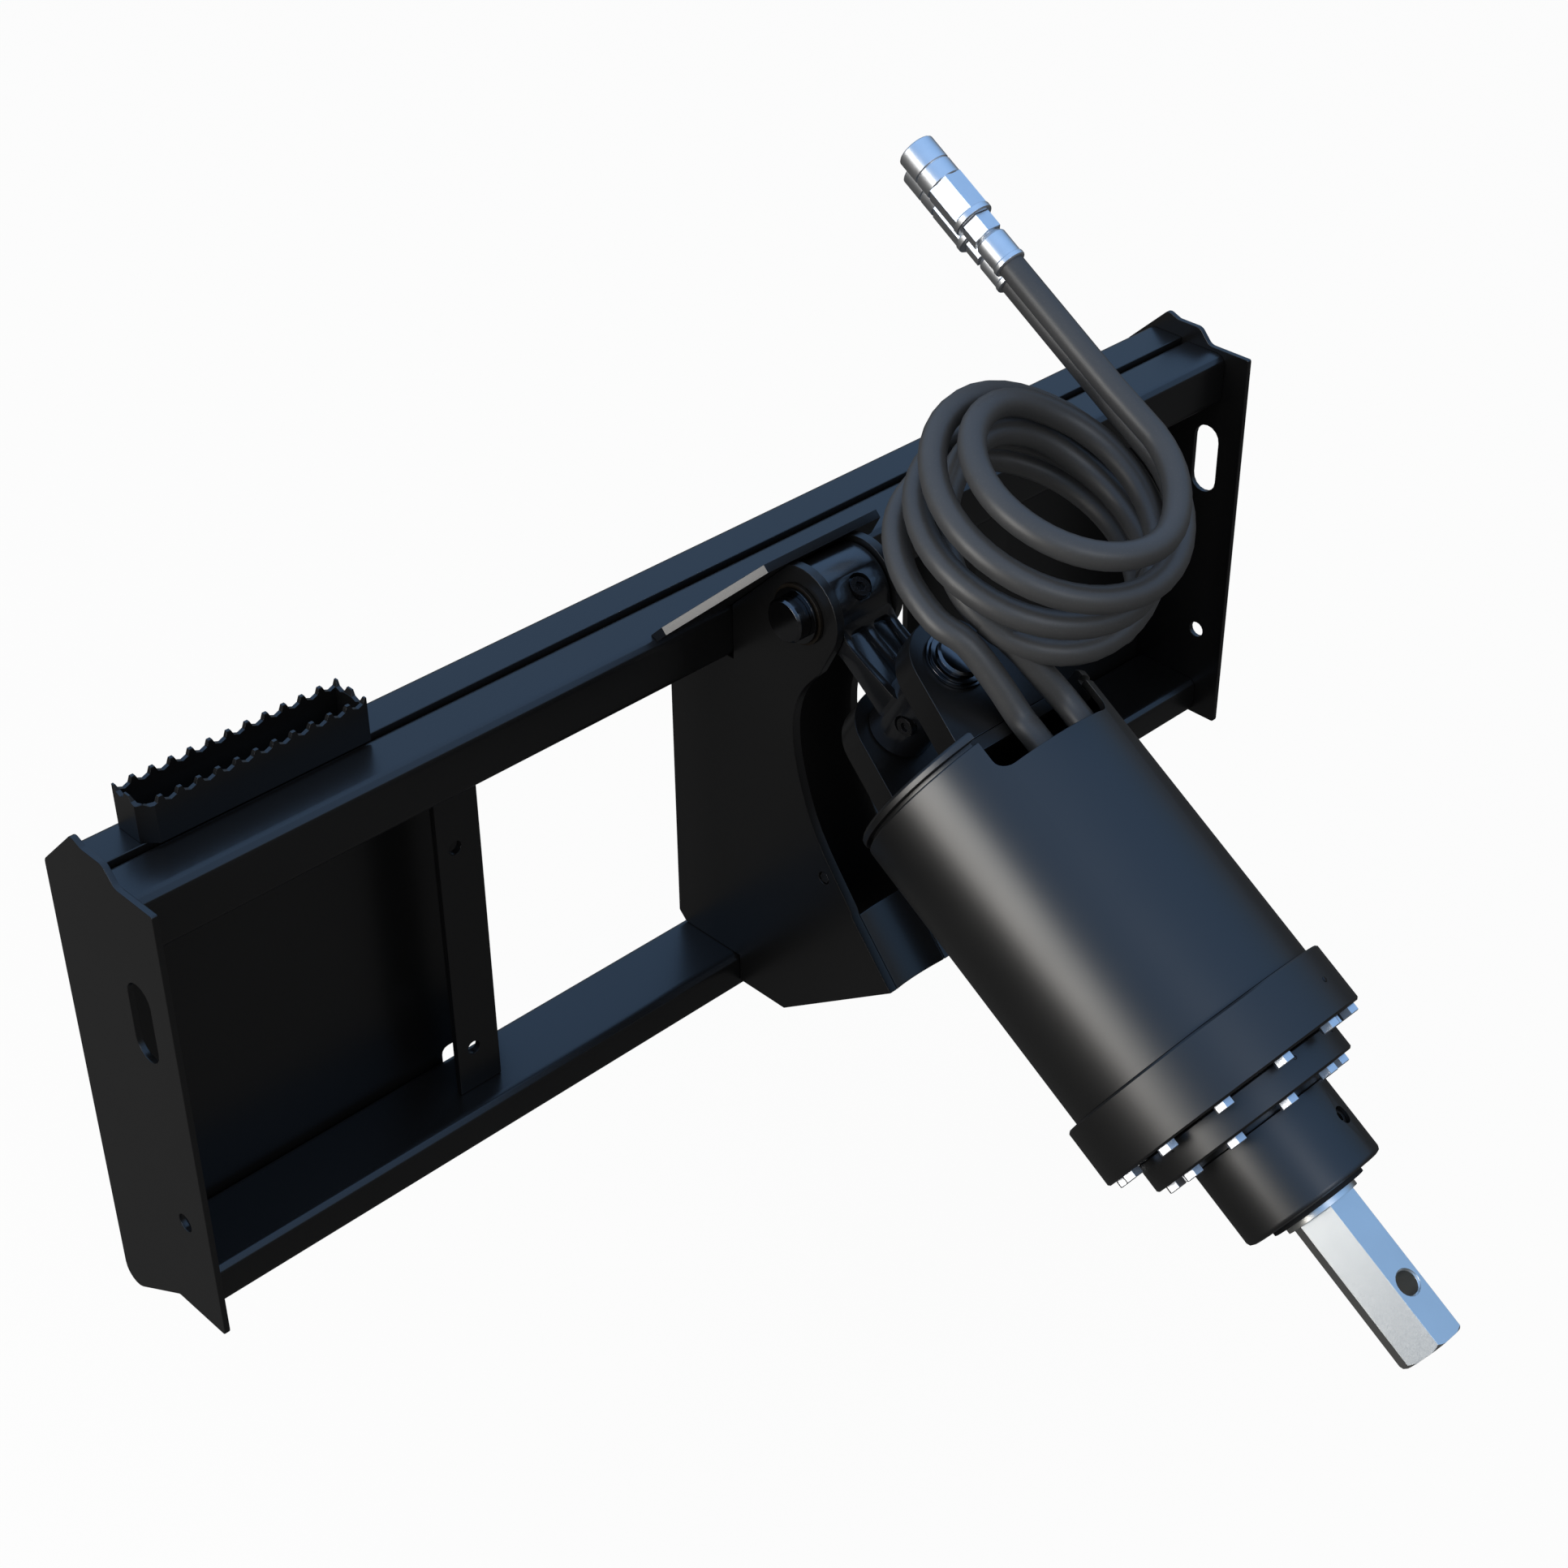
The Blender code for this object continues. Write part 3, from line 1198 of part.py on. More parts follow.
def gearbox():
    """Cover, gear ring, output flange and bearing drum, stacked along the drive's axis."""
    cover = [
        (MOTOR_SHAFT_R + 0.001, COVER_TOP),
        (SHELL_R - SHELL_WALL - GAP, COVER_TOP),
        (SHELL_R - SHELL_WALL - GAP, GEARBOX_TOP - GAP),
        (MOTOR_SHAFT_R + 0.001, GEARBOX_TOP - GAP),
    ]
    ride(solid_turn("gearbox_cover", cover, DRIVE, CAST_BLACK, closed=True), SWING_AXIS)
    low = GEARBOX_TOP + RING_FLANGE_LENGTH
    bore = GEAR_MODULE * RING_TEETH / 2 - ADDENDUM - 0.002
    ring = [
        (bore, GEARBOX_TOP),
        (RING_FLANGE_R - 0.0015, GEARBOX_TOP),
        (RING_FLANGE_R, GEARBOX_TOP + 0.0015),
        (RING_FLANGE_R, low - 0.0015),
        (RING_FLANGE_R - 0.0015, low),
        (bore, low),
    ]
    ring_body = solid_turn("gear_ring", ring, DRIVE, BLACK_PAINT, steps=48, closed=True)
    spaces = gear_outline(RING_TEETH, DEDENDUM, ADDENDUM, math.pi / RING_TEETH, 0.0)
    cutter = sheet("tooth_spaces", [spaces], 0.12, gear_plane(GEARBOX_TOP, 0.05), cutter=True)
    cut(ring_body, meshed(cutter))
    join(ring_body, hex_heads(RING_BOLTS, RING_BOLT_CIRCLE_R, low, math.pi / RING_BOLTS))
    ride(smooth(ring_body), SWING_AXIS)
    spigot = DRUM_TOP - 0.014
    flange = [
        (NECK_R + GAP, OUTPUT_FLANGE_TOP - 0.0010),
        (OUTPUT_FLANGE_R - 0.0012, OUTPUT_FLANGE_TOP - 0.0010),
        (OUTPUT_FLANGE_R, OUTPUT_FLANGE_TOP + 0.0002),
        (OUTPUT_FLANGE_R, OUTPUT_FLANGE_BOTTOM - 0.0015),
        (OUTPUT_FLANGE_R - 0.0015, OUTPUT_FLANGE_BOTTOM),
        (NECK_R + GAP, OUTPUT_FLANGE_BOTTOM),
    ]
    flange_body = solid_turn("output_flange", flange, DRIVE, BLACK_PAINT, steps=40, closed=True)
    heads = hex_heads(FLANGE_BOLTS, FLANGE_BOLT_CIRCLE_R, OUTPUT_FLANGE_BOTTOM, math.pi / FLANGE_BOLTS)
    join(flange_body, heads)
    ride(smooth(flange_body), SWING_AXIS)
    drum = [
        (DRUM_BORE_R, spigot),
        (NECK_R, spigot),
        (NECK_R, DRUM_TOP),
        (DRUM_R - 0.001, DRUM_TOP),
        (DRUM_R, DRUM_TOP + 0.001),
        (DRUM_R, DRUM_BOTTOM - DRUM_ROUND),
        (DRUM_R - DRUM_ROUND * 0.3, DRUM_BOTTOM - DRUM_ROUND * 0.3),
        (DRUM_R - DRUM_ROUND, DRUM_BOTTOM),
        (SEAL_R + GAP, DRUM_BOTTOM),
        (SEAL_R + GAP, DRUM_BOTTOM - 0.012),
        (DRUM_BORE_R - 0.010, DRUM_BOTTOM - 0.012),
        (DRUM_BORE_R - 0.010, DRUM_BOTTOM - 0.016),
        (DRUM_BORE_R, DRUM_BOTTOM - 0.016),
    ]
    drum_body = solid_turn("output_housing", drum, DRIVE, BLACK_PAINT, steps=40, closed=True)
    cut(drum_body, rod("plug_hole", PLUG_R + GAP, 0.03, 0.08, radial(PLUG_ANGLE, PLUG_STATION)))
    ride(smooth(drum_body), SWING_AXIS)
    seal = [
        (JOURNAL_R + GAP, DRUM_BOTTOM - 0.012 + GAP),
        (SEAL_R, DRUM_BOTTOM - 0.012 + GAP),
        (SEAL_R, DRUM_BOTTOM + SEAL_PROUD),
        (JOURNAL_R + GAP, DRUM_BOTTOM + SEAL_PROUD),
    ]
    ride(solid_turn("shaft_seal", seal, DRIVE, SEAL_RUBBER, closed=True), SWING_AXIS)


def housing_plug():
    matrix = radial(PLUG_ANGLE, PLUG_STATION)
    top = DRUM_R - 0.003
    plug = rod("housing_plug", PLUG_R, DRUM_BORE_R + 0.001, top, matrix, False, ZINC, SMALL_ROUND, 0.0006)
    cut(plug, rod("plug_socket", 0.0035, top - 0.004, top + 0.01, matrix, count=6))
    ride(smooth(plug), SWING_AXIS)


def output_shaft():
    """Stepped shaft with a chamfered hexagon, cross-drilled for the auger's pin."""
    top = GEAR_TOP + GEAR_WIDTH + 0.0015
    shoulder = top + CARRIER_T + GAP
    profile = [
        (0, top),
        (CARRIER_BORE_R - GAP, top),
        (CARRIER_BORE_R - GAP, shoulder),
        (JOURNAL_R - 0.001, shoulder),
        (JOURNAL_R, shoulder + 0.001),
        (JOURNAL_R, HEX_START),
        (0, HEX_START),
    ]
    shaft = solid_turn("output_shaft", profile, DRIVE, STEEL, steps=ROUND)
    corner = HEX_ACROSS / 2 / math.cos(math.pi / 6)
    turn = Matrix.Rotation(-HEX_TURN + math.pi / 2 + math.pi / 6, 4, "Z")
    hexagon = rod("hexagon", corner, HEX_START - 0.004, HEX_END, DRIVE @ turn, count=6)
    blank = [
        (0, HEX_START - 0.01),
        (corner - HEX_CHAMFER, HEX_START - 0.01),
        (corner - HEX_CHAMFER, HEX_START - 0.004),
        (corner + 0.002, HEX_START + 0.004),
        (corner + 0.002, HEX_END - 0.004),
        (corner - HEX_CHAMFER, HEX_END),
        (0, HEX_END + 0.001),
    ]
    boolean(hexagon, solid_turn("hex_blank", blank, DRIVE, cutter=True), "INTERSECT")
    join(shaft, hexagon)
    hole = radial(HEX_TURN, HEX_END - PIN_HOLE_FROM_END)
    sink = PIN_HOLE_R + 0.0012
    face = HEX_ACROSS / 2
    through = [
        (0, -0.05),
        (sink, -0.05),
        (sink, -face + 0.0004),
        (PIN_HOLE_R, -face + 0.0016),
        (PIN_HOLE_R, face - 0.0016),
        (sink, face - 0.0004),
        (sink, 0.05),
        (0, 0.05),
    ]
    cut(shaft, solid_turn("pin_hole", through, hole, cutter=True, steps=20))
    ride(smooth(shaft, 25), SPIN_AXIS)


# Hoses

COIL_UP = Vector((0, -math.sin(COIL_TILT), math.cos(COIL_TILT)))
COIL_BACK = Vector((0, math.cos(COIL_TILT), math.sin(COIL_TILT)))
COIL_CENTRE = Vector((COIL_X, *from_corner(COIL_Y, COIL_Z)))
COIL = columns((1, 0, 0), COIL_BACK, COIL_UP, COIL_CENTRE)


def coil_profile(grow=0.0):
    """Section of the wound part of both hoses, from low to high, as a closed loop of (r, height)."""
    r = HOSE_R + grow
    near, far = r * 0.5, r * 0.87
    return [
        (COIL_LOW_RADIUS - r, -COIL_DROP),
        (COIL_LOW_RADIUS - near, -COIL_DROP - far),
        (COIL_LOW_RADIUS + near, -COIL_DROP - far),
        (COIL_LOW_RADIUS + r, -COIL_DROP),
        (COIL_LOW_RADIUS + r, -COIL_FLARE),
        (COIL_TOP_RADIUS + r, 0),
        (COIL_TOP_RADIUS + near, far),
        (COIL_TOP_RADIUS - near, far),
        (COIL_TOP_RADIUS - r, 0),
        (COIL_LOW_RADIUS - r, -COIL_FLARE),
    ]


def hose_coil():
    """Outer form of the coiled part of both hoses."""
    coil = solid_turn("hose_coil", coil_profile(), COIL, HOSE_RUBBER, closed=True)
    ride(coil, SWING_AXIS)


def hose_run(name, points, matrix):
    """Tube along a smooth curve through the points, its end in the coil coped to the coil's side."""
    route = smooth_through(points, 2)
    curve = bpy.data.curves.new(name, "CURVE")
    curve.dimensions = "3D"
    curve.bevel_depth = HOSE_R
    curve.bevel_resolution = 3
    curve.use_fill_caps = True
    spline = curve.splines.new("POLY")
    spline.points.add(len(route) - 1)
    for point, where in zip(spline.points, route):
        point.co = (*where, 1.0)
    tube = outward(meshed(place(name, curve, matrix, HOSE_RUBBER)))
    cope = solid_turn("coil_cope", coil_profile(GAP), COIL, cutter=True, closed=True)
    ride(smooth(cut(tube, cope)), SWING_AXIS)


def hose_runs():
    """Both hoses from the motor to the coil, and from the coil to their outer ends."""
    start = PORT_BLOCK_TOP - MOTOR_FITTING_LENGTH - GAP
    x, n = HOSE_A_PORT
    route = [
        (x, n, start),
        (x, n, 0.185),
        (x, n, 0.168),
        (x - 0.004, 0.0725, 0.146),
        (x - 0.009, 0.084, 0.124),
        (x - 0.0135, 0.0935, 0.104),
    ]
    hose_run("hose_a_inlet", route, DRIVE)
    x, n = HOSE_B_PORT
    route = [
        (x, n, start),
        (x, n, 0.191),
        (x, n, 0.182),
        (x - 0.006, 0.076, 0.166),
        (x - 0.017, 0.087, 0.150),
        (x - 0.030, 0.098, 0.137),
    ]
    hose_run("hose_b_inlet", route, DRIVE)
    corner = Matrix.Translation((0.0, *from_corner(0.0, 0.0)))
    x, y, z = HOSE_A_END
    back, up = math.cos(HOSE_END_PITCH), math.sin(HOSE_END_PITCH)
    runs = (0.152, 0.114, 0.076, 0.038, GAP)
    route = [(x, y - back * run, z - up * run) for run in runs]
    hose_run("hose_a_outlet", route, corner)
    x, y, z = HOSE_B_END
    drift = (0.005, 0.004, 0.002, 0.0005, 0.0, 0.0)
    runs = (0.143, 0.107, 0.071, 0.040, 0.020, GAP)
    route = [(x - d, y - back * run, z - up * run) for d, run in zip(drift, runs)]
    hose_run("hose_b_outlet", route, corner)


def hexagon_on(body, across, low, high, matrix):
    """Joins a hexagon across the body's axis from low to high."""
    corner = across / 2 / math.cos(math.pi / 6)
    return join(body, rod("hexagon", corner, low, high, matrix, count=6))


def crimp_fitting(name, matrix, nut_length):
    """Crimped hose ferrule with its swivel nut, from the hose's end along local z."""
    r = FERRULE_R
    end = FERRULE_LENGTH + nut_length
    profile = [
        (0, 0),
        (r - 0.001, 0),
        (r, 0.001),
        (r, 0.004),
        (r - 0.0007, 0.005),
        (r - 0.0007, FERRULE_LENGTH - 0.003),
        (r - 0.0030, FERRULE_LENGTH),
        (r - 0.0045, FERRULE_LENGTH),
        (r - 0.0045, end),
        (0, end),
    ]
    fitting = solid_turn(name, profile, matrix, ZINC, steps=PIN_ROUND)
    hexagon_on(fitting, SMALL_HEX_ACROSS, FERRULE_LENGTH + 0.001, end - 0.0003, matrix)
    ride(smooth(fitting), SWING_AXIS)


def flat_coupler(name, matrix):
    """Flat-face quick coupler: adapter collar, body hexagon and locking sleeve with its slot."""
    low = FERRULE_LENGTH + SMALL_HEX_LENGTH + GAP
    collar = low + COLLAR_LENGTH
    body = collar + BIG_HEX_LENGTH
    end = body + SLEEVE_LENGTH
    groove = body + SLEEVE_LENGTH * 0.42
    profile = [
        (0, low),
        (COLLAR_R - 0.001, low),
        (COLLAR_R, low + 0.001),
        (COLLAR_R, collar - 0.001),
        (COLLAR_R - 0.001, collar),
        (BIG_HEX_ACROSS / 2 - 0.001, collar),
        (BIG_HEX_ACROSS / 2 - 0.001, body),
        (SLEEVE_R - 0.001, body),
        (SLEEVE_R, body + 0.001),
        (SLEEVE_R, groove - 0.001),
        (SLEEVE_R - 0.0008, groove),
        (SLEEVE_R, groove + 0.001),
        (SLEEVE_R, end - 0.001),
        (SLEEVE_R - 0.001, end),
        (SLEEVE_BORE_R, end),
        (SLEEVE_BORE_R, end - 0.004),
        (0, end - 0.004),
    ]
    coupler = solid_turn(name, profile, matrix, ZINC, steps=24)
    hexagon_on(coupler, BIG_HEX_ACROSS, collar - 0.0005, body + 0.0005, matrix)
    slot = sheet(
        "sleeve_slot",
        [box_outline(-0.0022, SLEEVE_R - 0.0022, 0.0022, SLEEVE_R + 0.01)],
        SLEEVE_LENGTH * 0.62,
        matrix @ Matrix.Translation((0, 0, end - SLEEVE_LENGTH * 0.27)),
        cutter=True,
    )
    cut(coupler, meshed(slot))
    ride(smooth(coupler), SWING_AXIS)


def hose_fittings():
    nut = MOTOR_FITTING_LENGTH - FERRULE_LENGTH - GAP
    for hose, (x, n) in (("a", HOSE_A_PORT), ("b", HOSE_B_PORT)):
        start = Vector((x, n, PORT_BLOCK_TOP - MOTOR_FITTING_LENGTH))
        crimp_fitting(f"hose_{hose}_motor_fitting", DRIVE @ Matrix.Translation(start), nut)
    run = Vector((0, math.cos(HOSE_END_PITCH), math.sin(HOSE_END_PITCH)))
    rise = Vector((0, -math.sin(HOSE_END_PITCH), math.cos(HOSE_END_PITCH)))
    for hose, (x, y, z) in (("a", HOSE_A_END), ("b", HOSE_B_END)):
        matrix = columns((1, 0, 0), -rise, run, (x, *from_corner(y, z)))
        crimp_fitting(f"hose_{hose}_end_fitting", matrix, SMALL_HEX_LENGTH)
        flat_coupler(f"coupler_{hose}", matrix)


def build():
    end_plates()
    tubes()
    top_lip()
    bottom_flange()
    back_panels()
    uprights()
    step()
    cheeks()
    gusset()
    cradle()
    cheek_bushes()
    link()
    pins()
    retaining_bolts()
    ears()
    hanger_disc()
    motor_shell()
    hydraulic_motor()
    gearbox()
    planetary_stage()
    bearings()
    housing_plug()
    output_shaft()
    hose_coil()
    hose_runs()
    hose_fittings()


build()
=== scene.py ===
"""Looks of the earth auger drive: its hoses, skins and finishes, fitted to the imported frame."""

import json
import math

import bmesh
import bpy
from mathutils import Matrix, Vector


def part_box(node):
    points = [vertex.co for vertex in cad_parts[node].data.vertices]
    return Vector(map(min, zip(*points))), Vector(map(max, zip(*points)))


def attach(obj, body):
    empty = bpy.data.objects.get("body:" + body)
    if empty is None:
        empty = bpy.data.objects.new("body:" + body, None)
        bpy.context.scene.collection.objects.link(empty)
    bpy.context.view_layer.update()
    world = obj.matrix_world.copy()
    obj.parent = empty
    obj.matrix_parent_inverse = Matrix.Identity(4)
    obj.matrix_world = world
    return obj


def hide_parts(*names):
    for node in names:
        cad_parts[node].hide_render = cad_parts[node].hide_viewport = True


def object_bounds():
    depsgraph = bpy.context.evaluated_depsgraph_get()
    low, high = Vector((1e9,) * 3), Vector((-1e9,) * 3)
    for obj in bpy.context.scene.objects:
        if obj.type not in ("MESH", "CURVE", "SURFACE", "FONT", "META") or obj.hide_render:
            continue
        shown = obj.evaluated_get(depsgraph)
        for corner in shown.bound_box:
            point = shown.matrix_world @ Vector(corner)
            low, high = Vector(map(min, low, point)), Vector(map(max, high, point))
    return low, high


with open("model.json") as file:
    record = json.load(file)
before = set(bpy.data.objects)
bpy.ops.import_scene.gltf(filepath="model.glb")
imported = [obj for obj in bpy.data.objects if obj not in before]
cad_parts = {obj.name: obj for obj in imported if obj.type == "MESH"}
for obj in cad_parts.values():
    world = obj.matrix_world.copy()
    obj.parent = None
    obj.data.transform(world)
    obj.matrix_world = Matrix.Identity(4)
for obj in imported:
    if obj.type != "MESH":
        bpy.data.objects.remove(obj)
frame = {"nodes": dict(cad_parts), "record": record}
frame_box = [[float(v) for v in corner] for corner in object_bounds()]

BODY_OF = {
    node: body
    for body, members in frame["record"]["behaviour"]["bodies"].items()
    for node in members
}

# Camera

PHOTO_WIDTH = 1932.0
FOCAL_LENGTH = 3354.0
SENSOR_WIDTH = 36.0
CAMERA_PLACE = Vector((-1.24793, -1.39640, 1.28137))
CAMERA_AZIMUTH = math.radians(-43.87)
CAMERA_ELEVATION = math.radians(34.88)
CAMERA_ROLL = math.radians(0.54)


def axes_at(x, y, z, where):
    """Matrix that turns the three axes into x, y and z and moves the origin to where."""
    return Matrix((*((x[i], y[i], z[i], where[i]) for i in range(3)), (0, 0, 0, 1)))


def place_camera():
    """Camera whose focal length is given in the photograph's pixels."""
    ahead = Vector(
        (
            -math.sin(CAMERA_AZIMUTH) * math.cos(CAMERA_ELEVATION),
            math.cos(CAMERA_AZIMUTH) * math.cos(CAMERA_ELEVATION),
            -math.sin(CAMERA_ELEVATION),
        )
    )
    level = ahead.cross(Vector((0, 0, 1))).normalized()
    below = ahead.cross(level)
    right = math.cos(CAMERA_ROLL) * level + math.sin(CAMERA_ROLL) * below
    down = math.cos(CAMERA_ROLL) * below - math.sin(CAMERA_ROLL) * level
    lens = bpy.data.cameras.new("photo_camera")
    lens.sensor_width = SENSOR_WIDTH
    lens.lens = FOCAL_LENGTH / PHOTO_WIDTH * SENSOR_WIDTH
    lens.clip_end = 50.0
    camera = bpy.data.objects.new("photo_camera", lens)
    bpy.context.scene.collection.objects.link(camera)
    camera.matrix_world = axes_at(right, -down, -ahead, CAMERA_PLACE)
    bpy.context.scene.camera = camera


place_camera()

# Places on the drive and in the hose coil

DRIVE_TILT = math.radians(32.55)
DRIVE_POINT = Vector((0.0, -0.161886, 0.238385))
DOWN = Vector((0.0, -math.cos(DRIVE_TILT), -math.sin(DRIVE_TILT)))
UP_FRONT = Vector((0.0, -math.sin(DRIVE_TILT), math.cos(DRIVE_TILT)))
COIL_CENTRE = Vector((0.078, -0.3123, 0.366))
COIL_TILT = math.radians(24.8)
COIL_UP = Vector((0.0, -math.sin(COIL_TILT), math.cos(COIL_TILT)))
COIL_BACK = Vector((0.0, math.cos(COIL_TILT), math.sin(COIL_TILT)))
HOSE_PITCH = math.radians(32.0)
ALONG_HOSE_END = Vector((0.0, math.cos(HOSE_PITCH), math.sin(HOSE_PITCH)))
HOSE_R = 0.0105
HOSE_A_END = Vector((0.149, -0.1870, 0.4569))
HOSE_B_END = Vector((0.170, -0.1712, 0.4323))


def on_drive(x, n, s):
    """Point x right of the drive's axis, n to its upper front and s down along it."""
    return DRIVE_POINT + Vector((x, 0, 0)) + UP_FRONT * n + DOWN * s


def in_coil(turn, radius, height, back=0.0):
    """Point of the coil: turn in degrees, 0 at the right and -90 in front; the rest in mm."""
    angle = math.radians(turn)
    across = radius * math.cos(angle) / 1000
    behind = (radius * math.sin(angle) + back) / 1000
    return COIL_CENTRE + Vector((across, 0, 0)) + COIL_BACK * behind + COIL_UP * height / 1000


def eased(x, places, values):
    """Value at x on the smooth curve through these values at these rising places."""
    slopes = []
    for i in range(len(places)):
        low, high = max(i - 1, 0), min(i + 1, len(places) - 1)
        slopes.append((values[high] - values[low]) / (places[high] - places[low]))
    i = 0
    while i < len(places) - 2 and x > places[i + 1]:
        i += 1
    span = places[i + 1] - places[i]
    t = (x - places[i]) / span
    return (
        (2 * t**3 - 3 * t**2 + 1) * values[i]
        + (t**3 - 2 * t**2 + t) * span * slopes[i]
        + (3 * t**2 - 2 * t**3) * values[i + 1]
        + (t**3 - t**2) * span * slopes[i + 1]
    )


def wound(keys, step=8):
    """Points down the coil through (turn, radius, height, back) keys, whose turns fall."""
    places = [-key[0] for key in keys]
    count = round((places[-1] - places[0]) / step)
    points = []
    for k in range(count + 1):
        at = places[0] + (places[-1] - places[0]) * k / count
        radius, height, back = (eased(at, places, [key[j] for key in keys]) for j in (1, 2, 3))
        points.append(in_coil(-at, radius, height, back))
    return points


def smooth_through(points, steps=4):
    """Points along a curve that runs smoothly through the given ones."""
    ends = [points[0], *points, points[-1]]
    made = []
    for i in range(1, len(ends) - 2):
        before, here, after, beyond = ends[i - 1 : i + 3]
        for k in range(steps):
            t = k / steps
            made.append(
                0.5
                * (
                    2 * here
                    + (after - before) * t
                    + (2 * before - 5 * here + 4 * after - beyond) * t**2
                    + (3 * here - before - 3 * after + beyond) * t**3
                )
            )
    made.append(points[-1])
    return made


# Materials


class Flow:
    """A value on its way through a material's nodes, which plain arithmetic can use."""

    def __init__(self, finish, socket):
        self.finish = finish
        self.socket = socket

    def maths(self, operation, first, second):
        return self.finish.node("ShaderNodeMath", {"operation": operation}, {0: first, 1: second})

    def __add__(self, other):
        return self.maths("ADD", self, other)

    __radd__ = __add__

    def __mul__(self, other):
        return self.maths("MULTIPLY", self, other)


class Finish:
    """One procedural material, built node by node on its Principled shader."""

    def __init__(self, name, metallic=0.0, specular=0.5, coat=0.0, coat_roughness=0.1):
        self.material = bpy.data.materials.new(name)
        self.material.use_nodes = True
        self.tree = self.material.node_tree
        self.shader = self.tree.nodes["Principled BSDF"]
        self.shader.inputs["Metallic"].default_value = metallic
        self.shader.inputs["Specular IOR Level"].default_value = specular
        self.shader.inputs["Coat Weight"].default_value = coat
        self.shader.inputs["Coat Roughness"].default_value = coat_roughness

    def give(self, socket, value):
        if isinstance(value, Flow):
            self.tree.links.new(value.socket, socket)
        elif isinstance(value, tuple) and len(value) == 3 and socket.type == "RGBA":
            socket.default_value = (*value, 1.0)
        else:
            socket.default_value = value

    def node(self, kind, settings=None, sockets=None, out=0):
        """Adds a node, sets it, feeds its sockets and gives one of its outputs."""
        made = self.tree.nodes.new(kind)
        for key, value in (settings or {}).items():
            if key == "stops":
                ramp = made.color_ramp
                while len(ramp.elements) < len(value):
                    ramp.elements.new(0.5)
                for element, (place, level) in zip(ramp.elements, value):
                    element.position = place
                    element.color = (level, level, level, 1.0)
            else:
                setattr(made, key, value)
        for key, value in (sockets or {}).items():
            self.give(made.inputs[key], value)
        return Flow(self, made.outputs[out])

    def place(self, scale=(1.0, 1.0, 1.0), turn=(0.0, 0.0, 0.0)):
        """The object's coordinates, turned and then stretched."""
        here = self.node("ShaderNodeTexCoord", out="Object")
        sockets = {"Vector": here, "Rotation": turn, "Scale": scale}
        return self.node("ShaderNodeMapping", {}, sockets)

    def noise(self, size, detail=3.0, where=None, rough=0.55):
        """Noise whose features are about this many metres wide."""
        sockets = {
            "Vector": where or self.node("ShaderNodeTexCoord", out="Object"),
            "Scale": 1.0 / size,
            "Detail": detail,
            "Roughness": rough,
        }
        return self.node("ShaderNodeTexNoise", {}, sockets)

    def ramp(self, value, stops):
        return self.node("ShaderNodeValToRGB", {"stops": stops}, {"Fac": value})

    def blend(self, share, first, second):
        """Colour between two colours."""
        return self.node("ShaderNodeMix", {"data_type": "RGBA"}, {0: share, 6: first, 7: second}, 2)

    def bump(self, height, depth, strength=1.0, under=None):
        sockets = {"Strength": strength, "Distance": depth, "Height": height}
        if under:
            sockets["Normal"] = under
        return self.node("ShaderNodeBump", {}, sockets)

    def wear(self, colour, roughness, normal=None):
        self.give(self.shader.inputs["Base Color"], colour)
        self.give(self.shader.inputs["Roughness"], roughness)
        if normal:
            self.give(self.shader.inputs["Normal"], normal)
        return self.material


def satin_black_paint():
    """Powder coat: near black, with orange peel, faint flow marks and a trace of dust."""
    finish = Finish("satin_black_paint", specular=0.68, coat=0.18, coat_roughness=0.20)
    cloud = finish.noise(0.16, 3.0)
    speck = finish.ramp(finish.noise(0.0011, 2.0), [(0.62, 0.0), (0.74, 1.0)])
    tone = finish.blend(cloud, (0.0030, 0.0030, 0.0032), (0.0055, 0.0056, 0.0060))
    colour = finish.blend(speck * 0.25, tone, (0.016, 0.016, 0.017))
    peel = finish.bump(finish.noise(0.0016, 2.0), 0.00004, 0.45)
    flow = finish.bump(finish.noise(0.020, 2.0), 0.00012, 0.35, peel)
    return finish.wear(colour, 0.27 + cloud * 0.12, flow)


def drum_paint():
    """Smoother paint of the drive's round casings, which holds one long highlight."""
    finish = Finish("drum_paint", specular=0.85, coat=0.12, coat_roughness=0.28)
    cloud = finish.noise(0.09, 3.0)
    tone = finish.blend(cloud, (0.0035, 0.0035, 0.0036), (0.0065, 0.0065, 0.0066))
    peel = finish.bump(finish.noise(0.0014, 2.0), 0.00003, 0.40)
    return finish.wear(tone, 0.34 + cloud * 0.06, peel)


def cast_black():
    """Painted casting: a sandy skin under glossy black."""
    finish = Finish("cast_black", specular=0.85, coat=0.45, coat_roughness=0.16)
    sand = finish.noise(0.0022, 4.0, rough=0.65)
    cloud = finish.noise(0.05, 3.0)
    tone = finish.blend(cloud, (0.004, 0.004, 0.005), (0.009, 0.010, 0.012))
    skin = finish.bump(sand, 0.00014, 0.35)
    return finish.wear(tone, 0.17 + sand * 0.12, skin)


def turned_steel():
    """Bright turned steel of the pins, rings and washers."""
    finish = Finish("turned_steel", metallic=1.0)
    tool = finish.noise(0.0012, 3.0, finish.place((1.0, 0.25, 0.25)))
    cloud = finish.noise(0.03, 2.0)
    tone = finish.blend(cloud, (0.11, 0.11, 0.115), (0.17, 0.17, 0.175))
    lines = finish.bump(tool, 0.00002, 0.12)
    return finish.wear(tone, 0.10 + tool * 0.08, lines)


